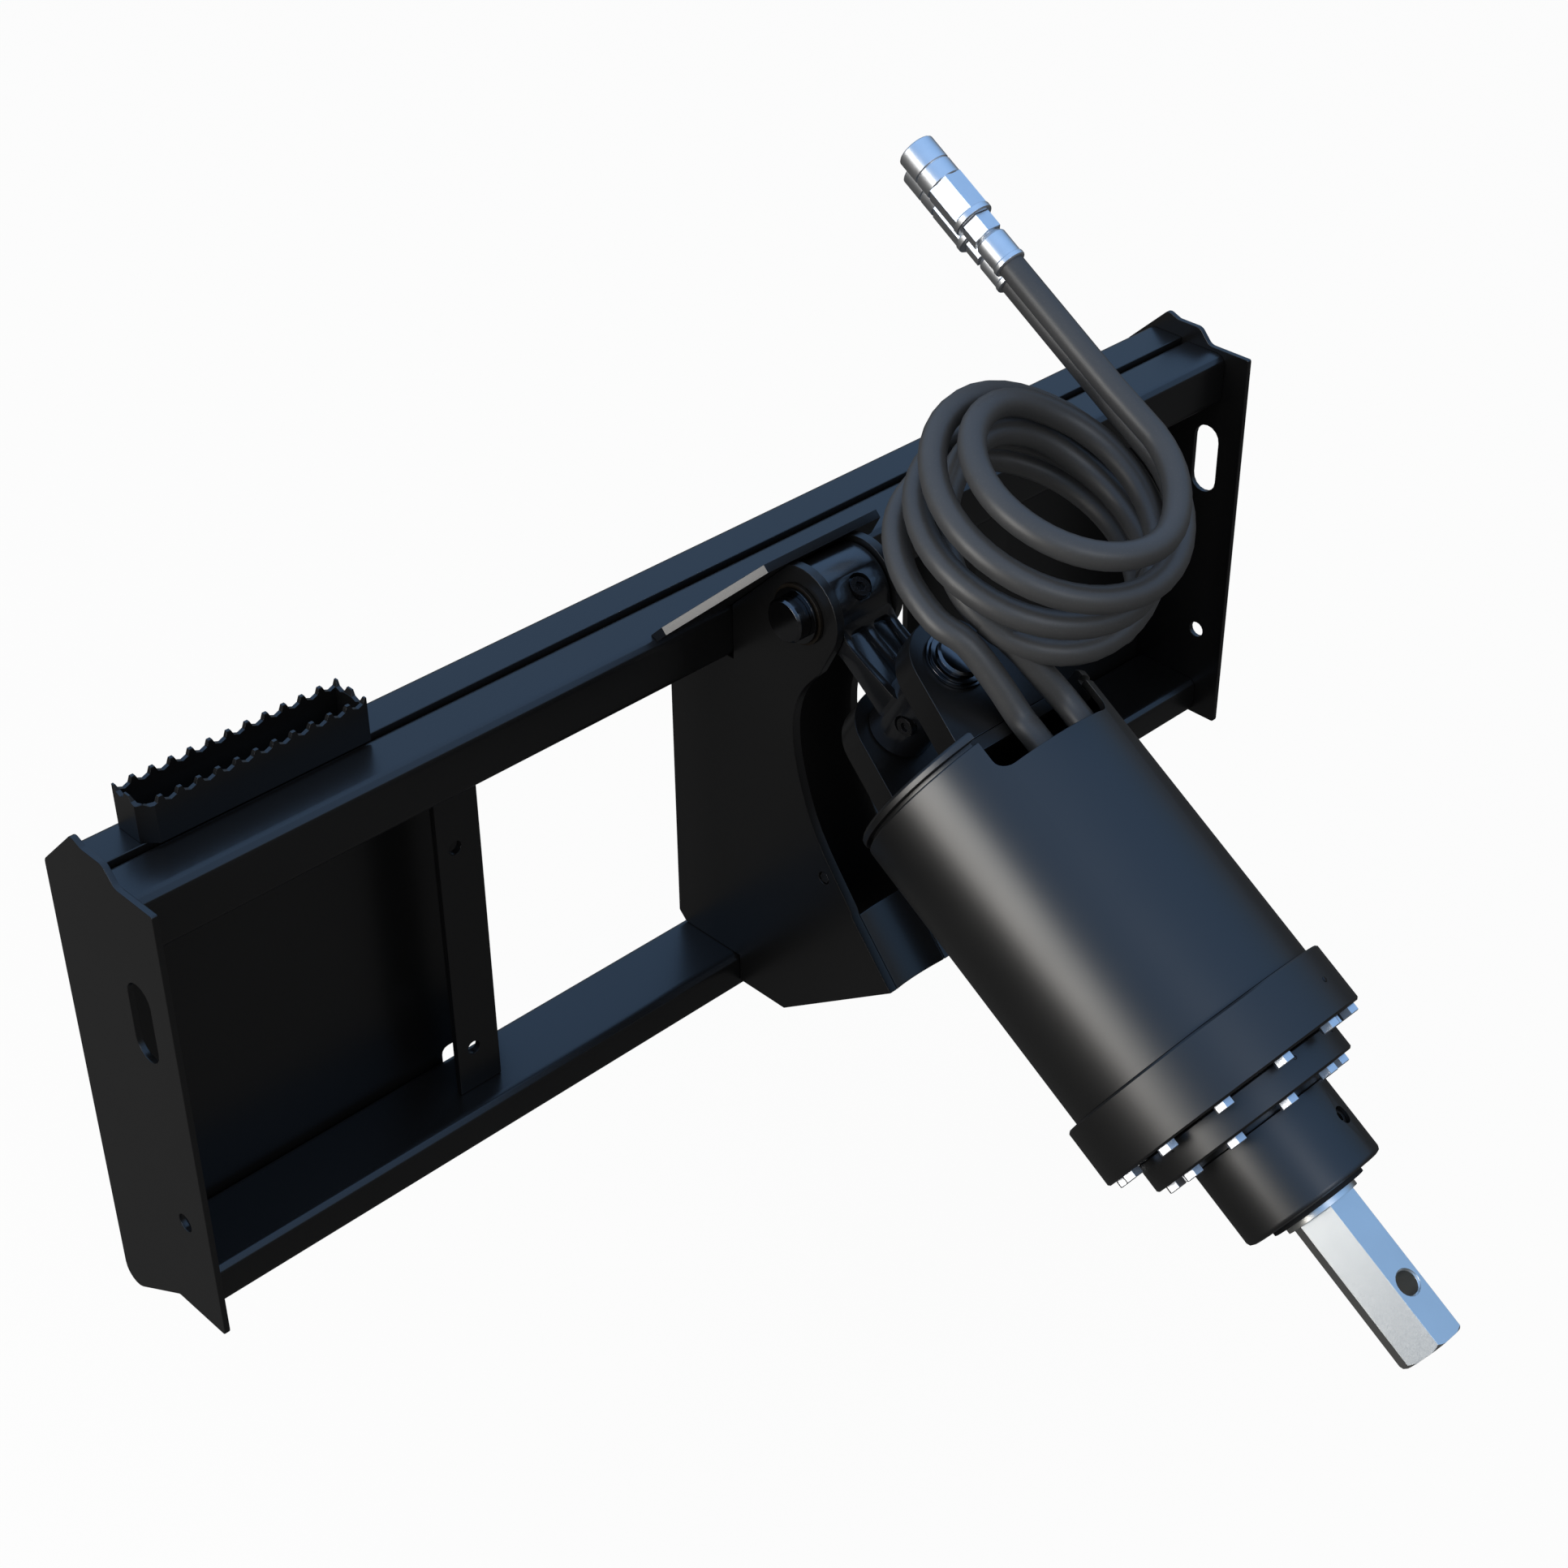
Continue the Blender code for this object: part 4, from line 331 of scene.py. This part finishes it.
def milled_shaft():
    """Pale machined hexagon, with fine cutter marks along the drive's axis."""
    finish = Finish("milled_shaft", metallic=1.0)
    along = finish.place((1.0, 1.0, 0.06), (math.pi / 2 - DRIVE_TILT, 0.0, 0.0))
    marks = finish.noise(0.0009, 3.0, along)
    cloud = finish.noise(0.035, 3.0)
    tone = finish.blend(cloud, (0.80, 0.80, 0.77), (0.90, 0.90, 0.87))
    lines = finish.bump(marks, 0.00003, 0.45)
    return finish.wear(tone, 0.24 + marks * 0.16, lines)


def bright_zinc():
    """Zinc plate on fasteners and hose fittings, with its cloudy crystal."""
    finish = Finish("bright_zinc", metallic=1.0)
    cloud = finish.noise(0.012, 2.0)
    tone = finish.blend(cloud, (0.80, 0.82, 0.84), (0.92, 0.93, 0.95))
    return finish.wear(tone, 0.32 + cloud * 0.08)


def hose_cover():
    """Dark grey rubber with the fine marks of the cloth that it was cured in."""
    finish = Finish("hose_cover", specular=0.60)
    cloud = finish.noise(0.045, 3.0)
    speck = finish.noise(0.0017, 3.0)
    tone = finish.blend(cloud, (0.058, 0.059, 0.061), (0.072, 0.073, 0.075))
    flecks = finish.ramp(speck, [(0.55, 0.0), (0.80, 1.0)]) * 0.4
    colour = finish.blend(flecks, tone, (0.105, 0.106, 0.109))
    weave = finish.bump(finish.noise(0.0007, 2.0), 0.00006, 0.5)
    return finish.wear(colour, 0.36 + speck * 0.14, weave)


def seal_rubber():
    finish = Finish("seal_rubber", specular=0.3)
    grain = finish.noise(0.0012, 3.0)
    tone = finish.blend(grain, (0.010, 0.010, 0.011), (0.020, 0.020, 0.021))
    return finish.wear(tone, 0.55 + grain * 0.2, finish.bump(grain, 0.00005, 0.5))


def darkened_bronze():
    """Bush bronze, darkened nearly to black."""
    finish = Finish("darkened_bronze", metallic=0.6)
    cloud = finish.noise(0.014, 3.0)
    tone = finish.blend(cloud, (0.014, 0.011, 0.008), (0.026, 0.020, 0.014))
    grain = finish.bump(finish.noise(0.001, 2.0), 0.00003, 0.5)
    return finish.wear(tone, 0.30 + cloud * 0.18, grain)


def black_screw():
    """Blackened socket screws."""
    finish = Finish("black_screw", metallic=0.5, specular=0.7)
    grain = finish.noise(0.0010, 3.0)
    tone = finish.blend(grain, (0.012, 0.012, 0.013), (0.024, 0.024, 0.026))
    return finish.wear(tone, 0.22 + grain * 0.12, finish.bump(grain, 0.00002, 0.4))


FINISH = {
    "paint": satin_black_paint(),
    "drum": drum_paint(),
    "cast": cast_black(),
    "steel": turned_steel(),
    "shaft": milled_shaft(),
    "zinc": bright_zinc(),
    "hose": hose_cover(),
    "seal": seal_rubber(),
    "bronze": darkened_bronze(),
    "screw": black_screw(),
}

# Skins: each node's own form, welded, with its edges eased and its round sides smooth

WELD_REACH = 0.00003
FLAT_WITHIN = math.radians(0.8)


def alone(piece):
    bpy.ops.object.select_all(action="DESELECT")
    piece.select_set(True)
    bpy.context.view_layer.objects.active = piece


def eased_edges(piece, width, angle=30.0, flats=True):
    """Rounds a piece's sharp edges and smooths the rest; its flat sides stay flat if asked."""
    alone(piece)
    bevel = piece.modifiers.new("eased_edges", "BEVEL")
    bevel.width = width
    bevel.segments = 2
    bevel.limit_method = "ANGLE"
    bevel.angle_limit = math.radians(angle)
    bevel.use_clamp_overlap = True
    bpy.ops.object.modifier_apply(modifier=bevel.name)
    bpy.ops.object.shade_smooth_by_angle(angle=math.radians(angle))
    if flats:
        even = piece.modifiers.new("even_shading", "WEIGHTED_NORMAL")
        even.keep_sharp = True
        bpy.ops.object.modifier_apply(modifier=even.name)


def skin_of(node, finish, width):
    """New piece in the node's place, with the node's form and a real finish."""
    work = bmesh.new()
    work.from_mesh(frame["nodes"][node].data)
    bmesh.ops.remove_doubles(work, verts=work.verts, dist=WELD_REACH)
    bmesh.ops.dissolve_limit(
        work, angle_limit=FLAT_WITHIN, verts=work.verts, edges=work.edges
    )
    mesh = bpy.data.meshes.new(node + "_skin")
    work.to_mesh(mesh)
    work.free()
    for layer in ("custom_normal", "sharp_edge", "sharp_face"):
        if layer in mesh.attributes:
            mesh.attributes.remove(mesh.attributes[layer])
    while mesh.uv_layers:
        mesh.uv_layers.remove(mesh.uv_layers[0])
    mesh.materials.clear()
    mesh.materials.append(FINISH[finish])
    piece = bpy.data.objects.new(node + "_skin", mesh)
    bpy.context.scene.collection.objects.link(piece)
    eased_edges(piece, width, flats=finish != "cast")
    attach(piece, BODY_OF[node])
    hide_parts(node)
    return piece


# Nodes by their finish and by the width of their eased edges
SKINS = {
    "paint": {
        0.0010: ("top_tube", "bottom_tube", "hitch_gusset", "cradle"),
        0.0008: (
            "end_plate_left",
            "end_plate_right",
            "top_lip",
            "bottom_flange",
            "back_panel_left",
            "back_panel_right",
            "upright_left",
            "upright_right",
            "hitch_cheek_left",
            "hitch_cheek_right",
            "hanger_ear_front",
            "hanger_ear_rear",
        ),
        0.0004: ("step",),
    },
    "drum": {
        0.0006: ("motor_shell", "gear_ring", "output_flange", "output_housing", "hanger_disc"),
    },
    "cast": {0.0022: ("knuckle_link",), 0.0006: ("hydraulic_motor", "gearbox_cover")},
    "steel": {
        0.0010: ("upper_pin", "lower_pin"),
        0.0005: ("lower_pin_washer_front", "lower_pin_washer_rear", "planet_carrier"),
        0.0003: (
            "upper_pin_ring_left",
            "upper_pin_ring_right",
            "lower_pin_ring_front",
            "lower_pin_ring_rear",
            "sun_gear",
            "planet_gear_1",
            "planet_gear_2",
            "planet_gear_3",
            "bearing_upper",
            "bearing_lower",
        ),
    },
    "shaft": {0.0007: ("output_shaft",)},
    # housing_plug wears the dark screw finish as painted shade of the recess around it.
    "screw": {0.0004: ("upper_pin_bolt", "lower_pin_bolt", "housing_plug")},
    "zinc": {
        0.0004: (
            "hose_a_motor_fitting",
            "hose_b_motor_fitting",
            "hose_a_end_fitting",
            "hose_b_end_fitting",
            "coupler_a",
            "coupler_b",
        ),
    },
    "seal": {0.0006: ("shaft_seal",)},
    "bronze": {
        0.0004: ("cheek_bush_left", "cheek_bush_right", "ear_bush_front", "ear_bush_rear"),
    },
}
SKIN = {
    node: skin_of(node, finish, width)
    for finish, by_width in SKINS.items()
    for width, nodes in by_width.items()
    for node in nodes
}

# Hoses: the windings are (turn, radius, height, back) keys for in_coil, from the coupler's end
# down to an end that is hidden in another strand

HOSE_A_WINDING = [
    (0, 74, 10, 0),
    (-45, 75, 6, -4),
    (-90, 76, 2, -9),
    (-180, 71, -4, -4),
    (-270, 75, -11, 1),
    (-315, 76, -25, 0),
    (-360, 78, -36, 0),
    (-405, 86, -48, 0),
    (-450, 93, -58, 0),
    (-540, 94, -64, 0),
    (-630, 92, -66, 0),
    (-690, 91, -73, 0),
    (-735, 92, -79, 0),
    (-765, 93, -79, 0),
]
HOSE_B_WINDING = [
    (0, 94, -20, 0),
    (-45, 94, -26, -1),
    (-90, 95, -30, -2),
    (-180, 92, -30, 0),
    (-270, 97, -26, 0),
    (-315, 97, -40, 0),
    (-360, 95, -56, 0),
    (-405, 94, -74, 0),
    (-450, 92, -93, 0),
    (-475, 89, -98, 0),
    (-500, 81, -101, 0),
    (-516, 77, -98, 0),
]
STRAIGHT_RUN = (0.0, 0.03, 0.06, 0.09, 0.12)


def length_of(points):
    return sum((b - a).length for a, b in zip(points, points[1:]))


def hose(name, points, nodes):
    """Hose along the points, as one open line with a round section, that leaves at the first."""
    line = bpy.data.curves.new(name, "CURVE")
    line.dimensions = "3D"
    line.bevel_depth = HOSE_R
    line.bevel_resolution = 6
    line.use_fill_caps = True
    spline = line.splines.new("POLY")
    spline.points.add(len(points) - 1)
    for point, where in zip(spline.points, points):
        point.co = (*where, 1.0)
    spline.use_smooth = True
    line.materials.append(FINISH["hose"])
    piece = bpy.data.objects.new(name, line)
    bpy.context.scene.collection.objects.link(piece)
    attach(piece, "drive")
    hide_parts(*nodes)
    length_of(points)


def straight_end(end):
    """Points from a hose's end fitting back to the coil."""
    return [end - ALONG_HOSE_END * run for run in STRAIGHT_RUN]


def hoses():
    """Each hose is a lower cord that climbs into the coil and a wound one out to its coupler."""
    inlet_a = smooth_through(
        [
            on_drive(0.005, 0.0635, 0.2000),
            on_drive(0.005, 0.0635, 0.1850),
            on_drive(0.005, 0.0635, 0.1680),
            on_drive(-0.001, 0.0740, 0.1420),
            in_coil(-158, 96, -108),
            in_coil(-175, 98, -106),
            in_coil(-200, 98, -102),
            in_coil(-225, 97, -99),
            in_coil(-250, 94, -96),
            in_coil(-275, 92, -94),
            in_coil(-300, 92, -94),
            in_coil(-325, 92, -96),
            in_coil(-350, 92, -98),
            in_coil(-375, 92, -99),
            in_coil(-400, 92, -99),
            in_coil(-420, 92, -98),
            in_coil(-440, 92, -96),
        ]
    )
    inlet_b = smooth_through(
        [
            on_drive(0.043, 0.0700, 0.2000),
            on_drive(0.043, 0.0700, 0.1850),
            on_drive(0.040, 0.0730, 0.1700),
            on_drive(0.028, 0.0840, 0.1460),
            in_coil(-140, 80, -101),
            in_coil(-160, 76, -96),
            in_coil(-180, 74, -88),
            in_coil(-205, 72, -76),
            in_coil(-230, 71, -62),
            in_coil(-255, 72, -48),
            in_coil(-280, 74, -43),
            in_coil(-310, 75, -49),
            in_coil(-340, 76, -59),
            in_coil(-370, 79, -64),
            in_coil(-400, 84, -63),
            in_coil(-425, 88, -57),
        ]
    )
    coil_a = straight_end(HOSE_A_END) + wound(HOSE_A_WINDING)[1:]
    coil_b = straight_end(HOSE_B_END) + wound(HOSE_B_WINDING)[1:]
    coil_a.reverse()
    coil_b.reverse()
    hose("hose_a_lower", inlet_a, ["hose_a_inlet"])
    hose("hose_b_lower", inlet_b, ["hose_b_inlet"])
    outer_a = ["hose_coil", "hose_a_outlet"]
    outer_b = ["hose_coil", "hose_b_outlet"]
    hose("hose_a_wound", coil_a, outer_a)
    hose("hose_b_wound", coil_b, outer_b)


hoses()

# Bolt heads under the gear ring and the output flange, in the left cheek, and dark discs in the
# rims that are painted shade of small holes

GEAR_RING_LOW = 0.4713
OUTPUT_FLANGE_LOW = 0.4955
GEAR_RING_R = 0.1118
OUTPUT_FLANGE_R = 0.0865
GEAR_RING_BOLT_CIRCLE = 0.0995
OUTPUT_FLANGE_BOLT_CIRCLE = 0.0725
BOLT_ACROSS = 0.013
BOLT_HEAD = 0.0055
HEAD_OVER = 0.0002
SEAT_GAP = 0.0001
HOLE_SHADE_LENGTH = 0.003
HOLE_SHADE_MIDDLE = -0.0012
# Small dark discs set just into the rims: painted shade of the small holes there.
RIM_HOLE_SHADES = (
    ("gear_ring_hole_shade", 0.0023, GEAR_RING_R, 22.6, 0.447),
    ("flange_hole_shade_1", 0.0015, OUTPUT_FLANGE_R, 31.0, 0.4775),
    ("flange_hole_shade_2", 0.0015, OUTPUT_FLANGE_R, -5.0, 0.4775),
    ("flange_hole_shade_3", 0.0015, OUTPUT_FLANGE_R, -81.0, 0.4775),
)
CHEEK_BOLT_Y = -0.1793
CHEEK_BOLT_Z = -0.0070
CHEEK_BOLT_ACROSS = 0.0085
CHEEK_BOLT_HEAD = 0.0035
CHEEK_RECESS = 0.0045
RIGHT = Vector((1.0, 0.0, 0.0))


def bolt_head(name, across=BOLT_ACROSS, tall=BOLT_HEAD, finish="zinc"):
    """Hexagon head with a turned crown, standing along z from 0, just over the node's own."""
    corner = across / 2 / math.cos(math.pi / 6) + HEAD_OVER
    bpy.ops.object.select_all(action="DESELECT")
    bpy.ops.mesh.primitive_cylinder_add(
        vertices=6, radius=corner, depth=tall, location=(0, 0, tall / 2)
    )
    head = bpy.context.active_object
    head.name = name
    bpy.ops.object.mode_set(mode="EDIT")
    work = bmesh.from_edit_mesh(head.data)
    bpy.ops.mesh.select_all(action="DESELECT")
    bpy.ops.mesh.select_mode(type="FACE")
    for face in work.faces:
        face.select_set(face.normal.z > 0.9)
    bmesh.update_edit_mesh(head.data)
    bpy.ops.mesh.inset(thickness=across * 0.085, depth=0.0005)
    bpy.ops.mesh.inset(thickness=across * 0.12, depth=-0.0003)
    bpy.ops.object.mode_set(mode="OBJECT")
    bpy.ops.object.transform_apply(location=True, rotation=True, scale=True)
    head.data.transform(Matrix.Rotation(math.pi / 6, 4, "Z"))
    head.data.materials.append(FINISH[finish])
    eased_edges(head, 0.0003, 25.0)
    return head


def bolt_ring(name, count, circle_radius, seat):
    """Heads in a ring under a flange, joined into one piece."""
    heads = []
    first = bolt_head(name)
    for k in range(count):
        angle = math.pi / count + math.tau * k / count
        head = first if k == 0 else first.copy()
        if k:
            head.data = first.data.copy()
            bpy.context.scene.collection.objects.link(head)
        where = on_drive(circle_radius * math.sin(angle), circle_radius * math.cos(angle), seat)
        heads.append((head, axes_at(RIGHT, UP_FRONT, DOWN, where)))
    for head, matrix in heads:
        head.data.transform(matrix)
    bpy.ops.object.select_all(action="DESELECT")
    for head, _ in heads:
        head.select_set(True)
    bpy.context.view_layer.objects.active = first
    bpy.ops.object.join()
    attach(first, "drive")


bolt_ring("gear_ring_bolts", 12, GEAR_RING_BOLT_CIRCLE, GEAR_RING_LOW + SEAT_GAP)
bolt_ring("output_flange_bolts", 10, OUTPUT_FLANGE_BOLT_CIRCLE, OUTPUT_FLANGE_LOW + SEAT_GAP)


def rim_hole_shade(name, radius, rim, turn, s):
    """Small dark disc in a round rim, painted shade of a small hole there, at this turn from the
    drive's top and s down it.
    """
    angle = math.radians(turn)
    out = Vector((math.sin(angle), 0, 0)) + UP_FRONT * math.cos(angle)
    side = out.cross(DOWN)
    where = on_drive(rim * math.sin(angle), rim * math.cos(angle), s)
    bpy.ops.object.select_all(action="DESELECT")
    bpy.ops.mesh.primitive_cylinder_add(
        vertices=20, radius=radius, depth=HOLE_SHADE_LENGTH, location=(0, 0, HOLE_SHADE_MIDDLE)
    )
    shade_disc = bpy.context.active_object
    shade_disc.name = name
    bpy.ops.object.transform_apply(location=True, rotation=True, scale=True)
    # The dark screw finish gives this disc its painted shade.
    shade_disc.data.materials.append(FINISH["screw"])
    eased_edges(shade_disc, 0.0002)
    shade_disc.data.transform(axes_at(side, DOWN, out, where))
    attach(shade_disc, "drive")


for hole_shade_row in RIM_HOLE_SHADES:
    rim_hole_shade(*hole_shade_row)


def cheek_bolt():
    """Head at the bottom of the left cheek's round recess, dark as painted shade of the recess."""
    low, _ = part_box("hitch_cheek_left")
    # The dark screw finish paints the recess's shade onto this head.
    head = bolt_head("cheek_bolt", CHEEK_BOLT_ACROSS, CHEEK_BOLT_HEAD, "screw")
    where = (low[0] + CHEEK_RECESS, CHEEK_BOLT_Y, CHEEK_BOLT_Z)
    head.data.transform(axes_at((0, 1, 0), (0, 0, -1), (-1, 0, 0), where))
    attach(head, "frame")


cheek_bolt()

# Studio: the floor lies below the shaft's lowest reach, at full downward tilt

FLOOR_SIZE = 40.0
FLOOR_DROP = 0.30
FLOOR_Z = frame_box[0][2] - FLOOR_DROP


def floor():
    """Sheet that is nearly white to the camera and dark grey to everything else."""
    bpy.ops.object.select_all(action="DESELECT")
    bpy.ops.mesh.primitive_plane_add(size=FLOOR_SIZE, location=(0, 0, FLOOR_Z))
    sheet = bpy.context.active_object
    sheet.name = "studio_floor"
    finish = Finish("studio_floor", specular=0.0)
    nodes = finish.tree.nodes
    light_path = nodes.new("ShaderNodeLightPath")
    seen = Flow(finish, light_path.outputs["Is Camera Ray"])
    mottle = finish.noise(0.5, 2.0)
    pale = finish.blend(mottle, (0.94, 0.94, 0.93), (0.96, 0.96, 0.95))
    finish.wear(finish.blend(seen, (0.10, 0.10, 0.10), pale), 1.0)
    glow = nodes.new("ShaderNodeEmission")
    glow.inputs["Color"].default_value = (1.0, 1.0, 1.0, 1.0)
    surface = Flow(finish, finish.shader.outputs[0])
    sockets = {0: seen * 0.94, 1: surface, 2: Flow(finish, glow.outputs[0])}
    mixed = finish.node("ShaderNodeMixShader", {}, sockets)
    finish.tree.links.new(mixed.socket, nodes["Material Output"].inputs["Surface"])
    sheet.data.materials.append(finish.material)


def sky_colour(tree, height, stops):
    """Background whose colour changes with height above the horizon."""
    ramp = tree.nodes.new("ShaderNodeValToRGB")
    while len(ramp.color_ramp.elements) < len(stops):
        ramp.color_ramp.elements.new(0.5)
    for element, (place, colour) in zip(ramp.color_ramp.elements, stops):
        element.position = place
        element.color = (*colour, 1.0)
    soft = tree.nodes.new("ShaderNodeBackground")
    tree.links.new(height, ramp.inputs["Fac"])
    tree.links.new(ramp.outputs["Color"], soft.inputs["Color"])
    return soft.outputs[0]


def sky():
    """Studio sky: neutral light, blue in reflections from above, and white to the camera."""
    world = bpy.data.worlds.new("studio_sky")
    bpy.context.scene.world = world
    world.use_nodes = True
    tree = world.node_tree
    tree.nodes.clear()
    output = tree.nodes.new("ShaderNodeOutputWorld")
    way = tree.nodes.new("ShaderNodeTexCoord")
    split = tree.nodes.new("ShaderNodeSeparateXYZ")
    tree.links.new(way.outputs["Generated"], split.inputs[0])
    height = split.outputs["Z"]
    light = sky_colour(tree, height, [(0.0, (0.30, 0.30, 0.30)), (1.0, (0.62, 0.64, 0.66))])
    stops = [
        (0.00, (0.10, 0.10, 0.10)),
        (0.12, (0.20, 0.22, 0.25)),
        (0.34, (0.20, 0.34, 0.54)),
        (0.60, (0.27, 0.48, 0.84)),
        (1.00, (0.36, 0.60, 1.00)),
    ]
    shine = sky_colour(tree, height, stops)
    white = tree.nodes.new("ShaderNodeBackground")
    white.inputs["Color"].default_value = (1.0, 1.0, 1.0, 1.0)
    light_path = tree.nodes.new("ShaderNodeLightPath")
    shown = light
    for ray, sight in (("Is Glossy Ray", shine), ("Is Camera Ray", white.outputs[0])):
        mix = tree.nodes.new("ShaderNodeMixShader")
        tree.links.new(light_path.outputs[ray], mix.inputs[0])
        tree.links.new(shown, mix.inputs[1])
        tree.links.new(sight, mix.inputs[2])
        shown = mix.outputs[0]
    tree.links.new(shown, output.inputs["Surface"])


def panel(name, place, target, width, height, power, colour):
    """Flat lamp at a place, turned towards its target."""
    light = bpy.data.lights.new(name, "AREA")
    light.shape = "RECTANGLE"
    light.size, light.size_y = width, height
    light.energy = power
    light.color = colour
    lamp = bpy.data.objects.new(name, light)
    bpy.context.scene.collection.objects.link(lamp)
    lamp.location = place
    lamp.rotation_euler = (Vector(target) - Vector(place)).to_track_quat("-Z", "Y").to_euler()


floor()
sky()
panel("left_panel", (-3.4, 0.05, 0.62), (0.0, -0.35, 0.1), 1.5, 1.9, 56.0, (1.0, 0.97, 0.92))
panel("front_panel", (-0.9, -3.4, 2.2), (0.0, -0.4, 0.0), 1.6, 1.0, 14.0, (1.0, 0.98, 0.95))

bpy.context.scene.view_settings.view_transform = "Standard"
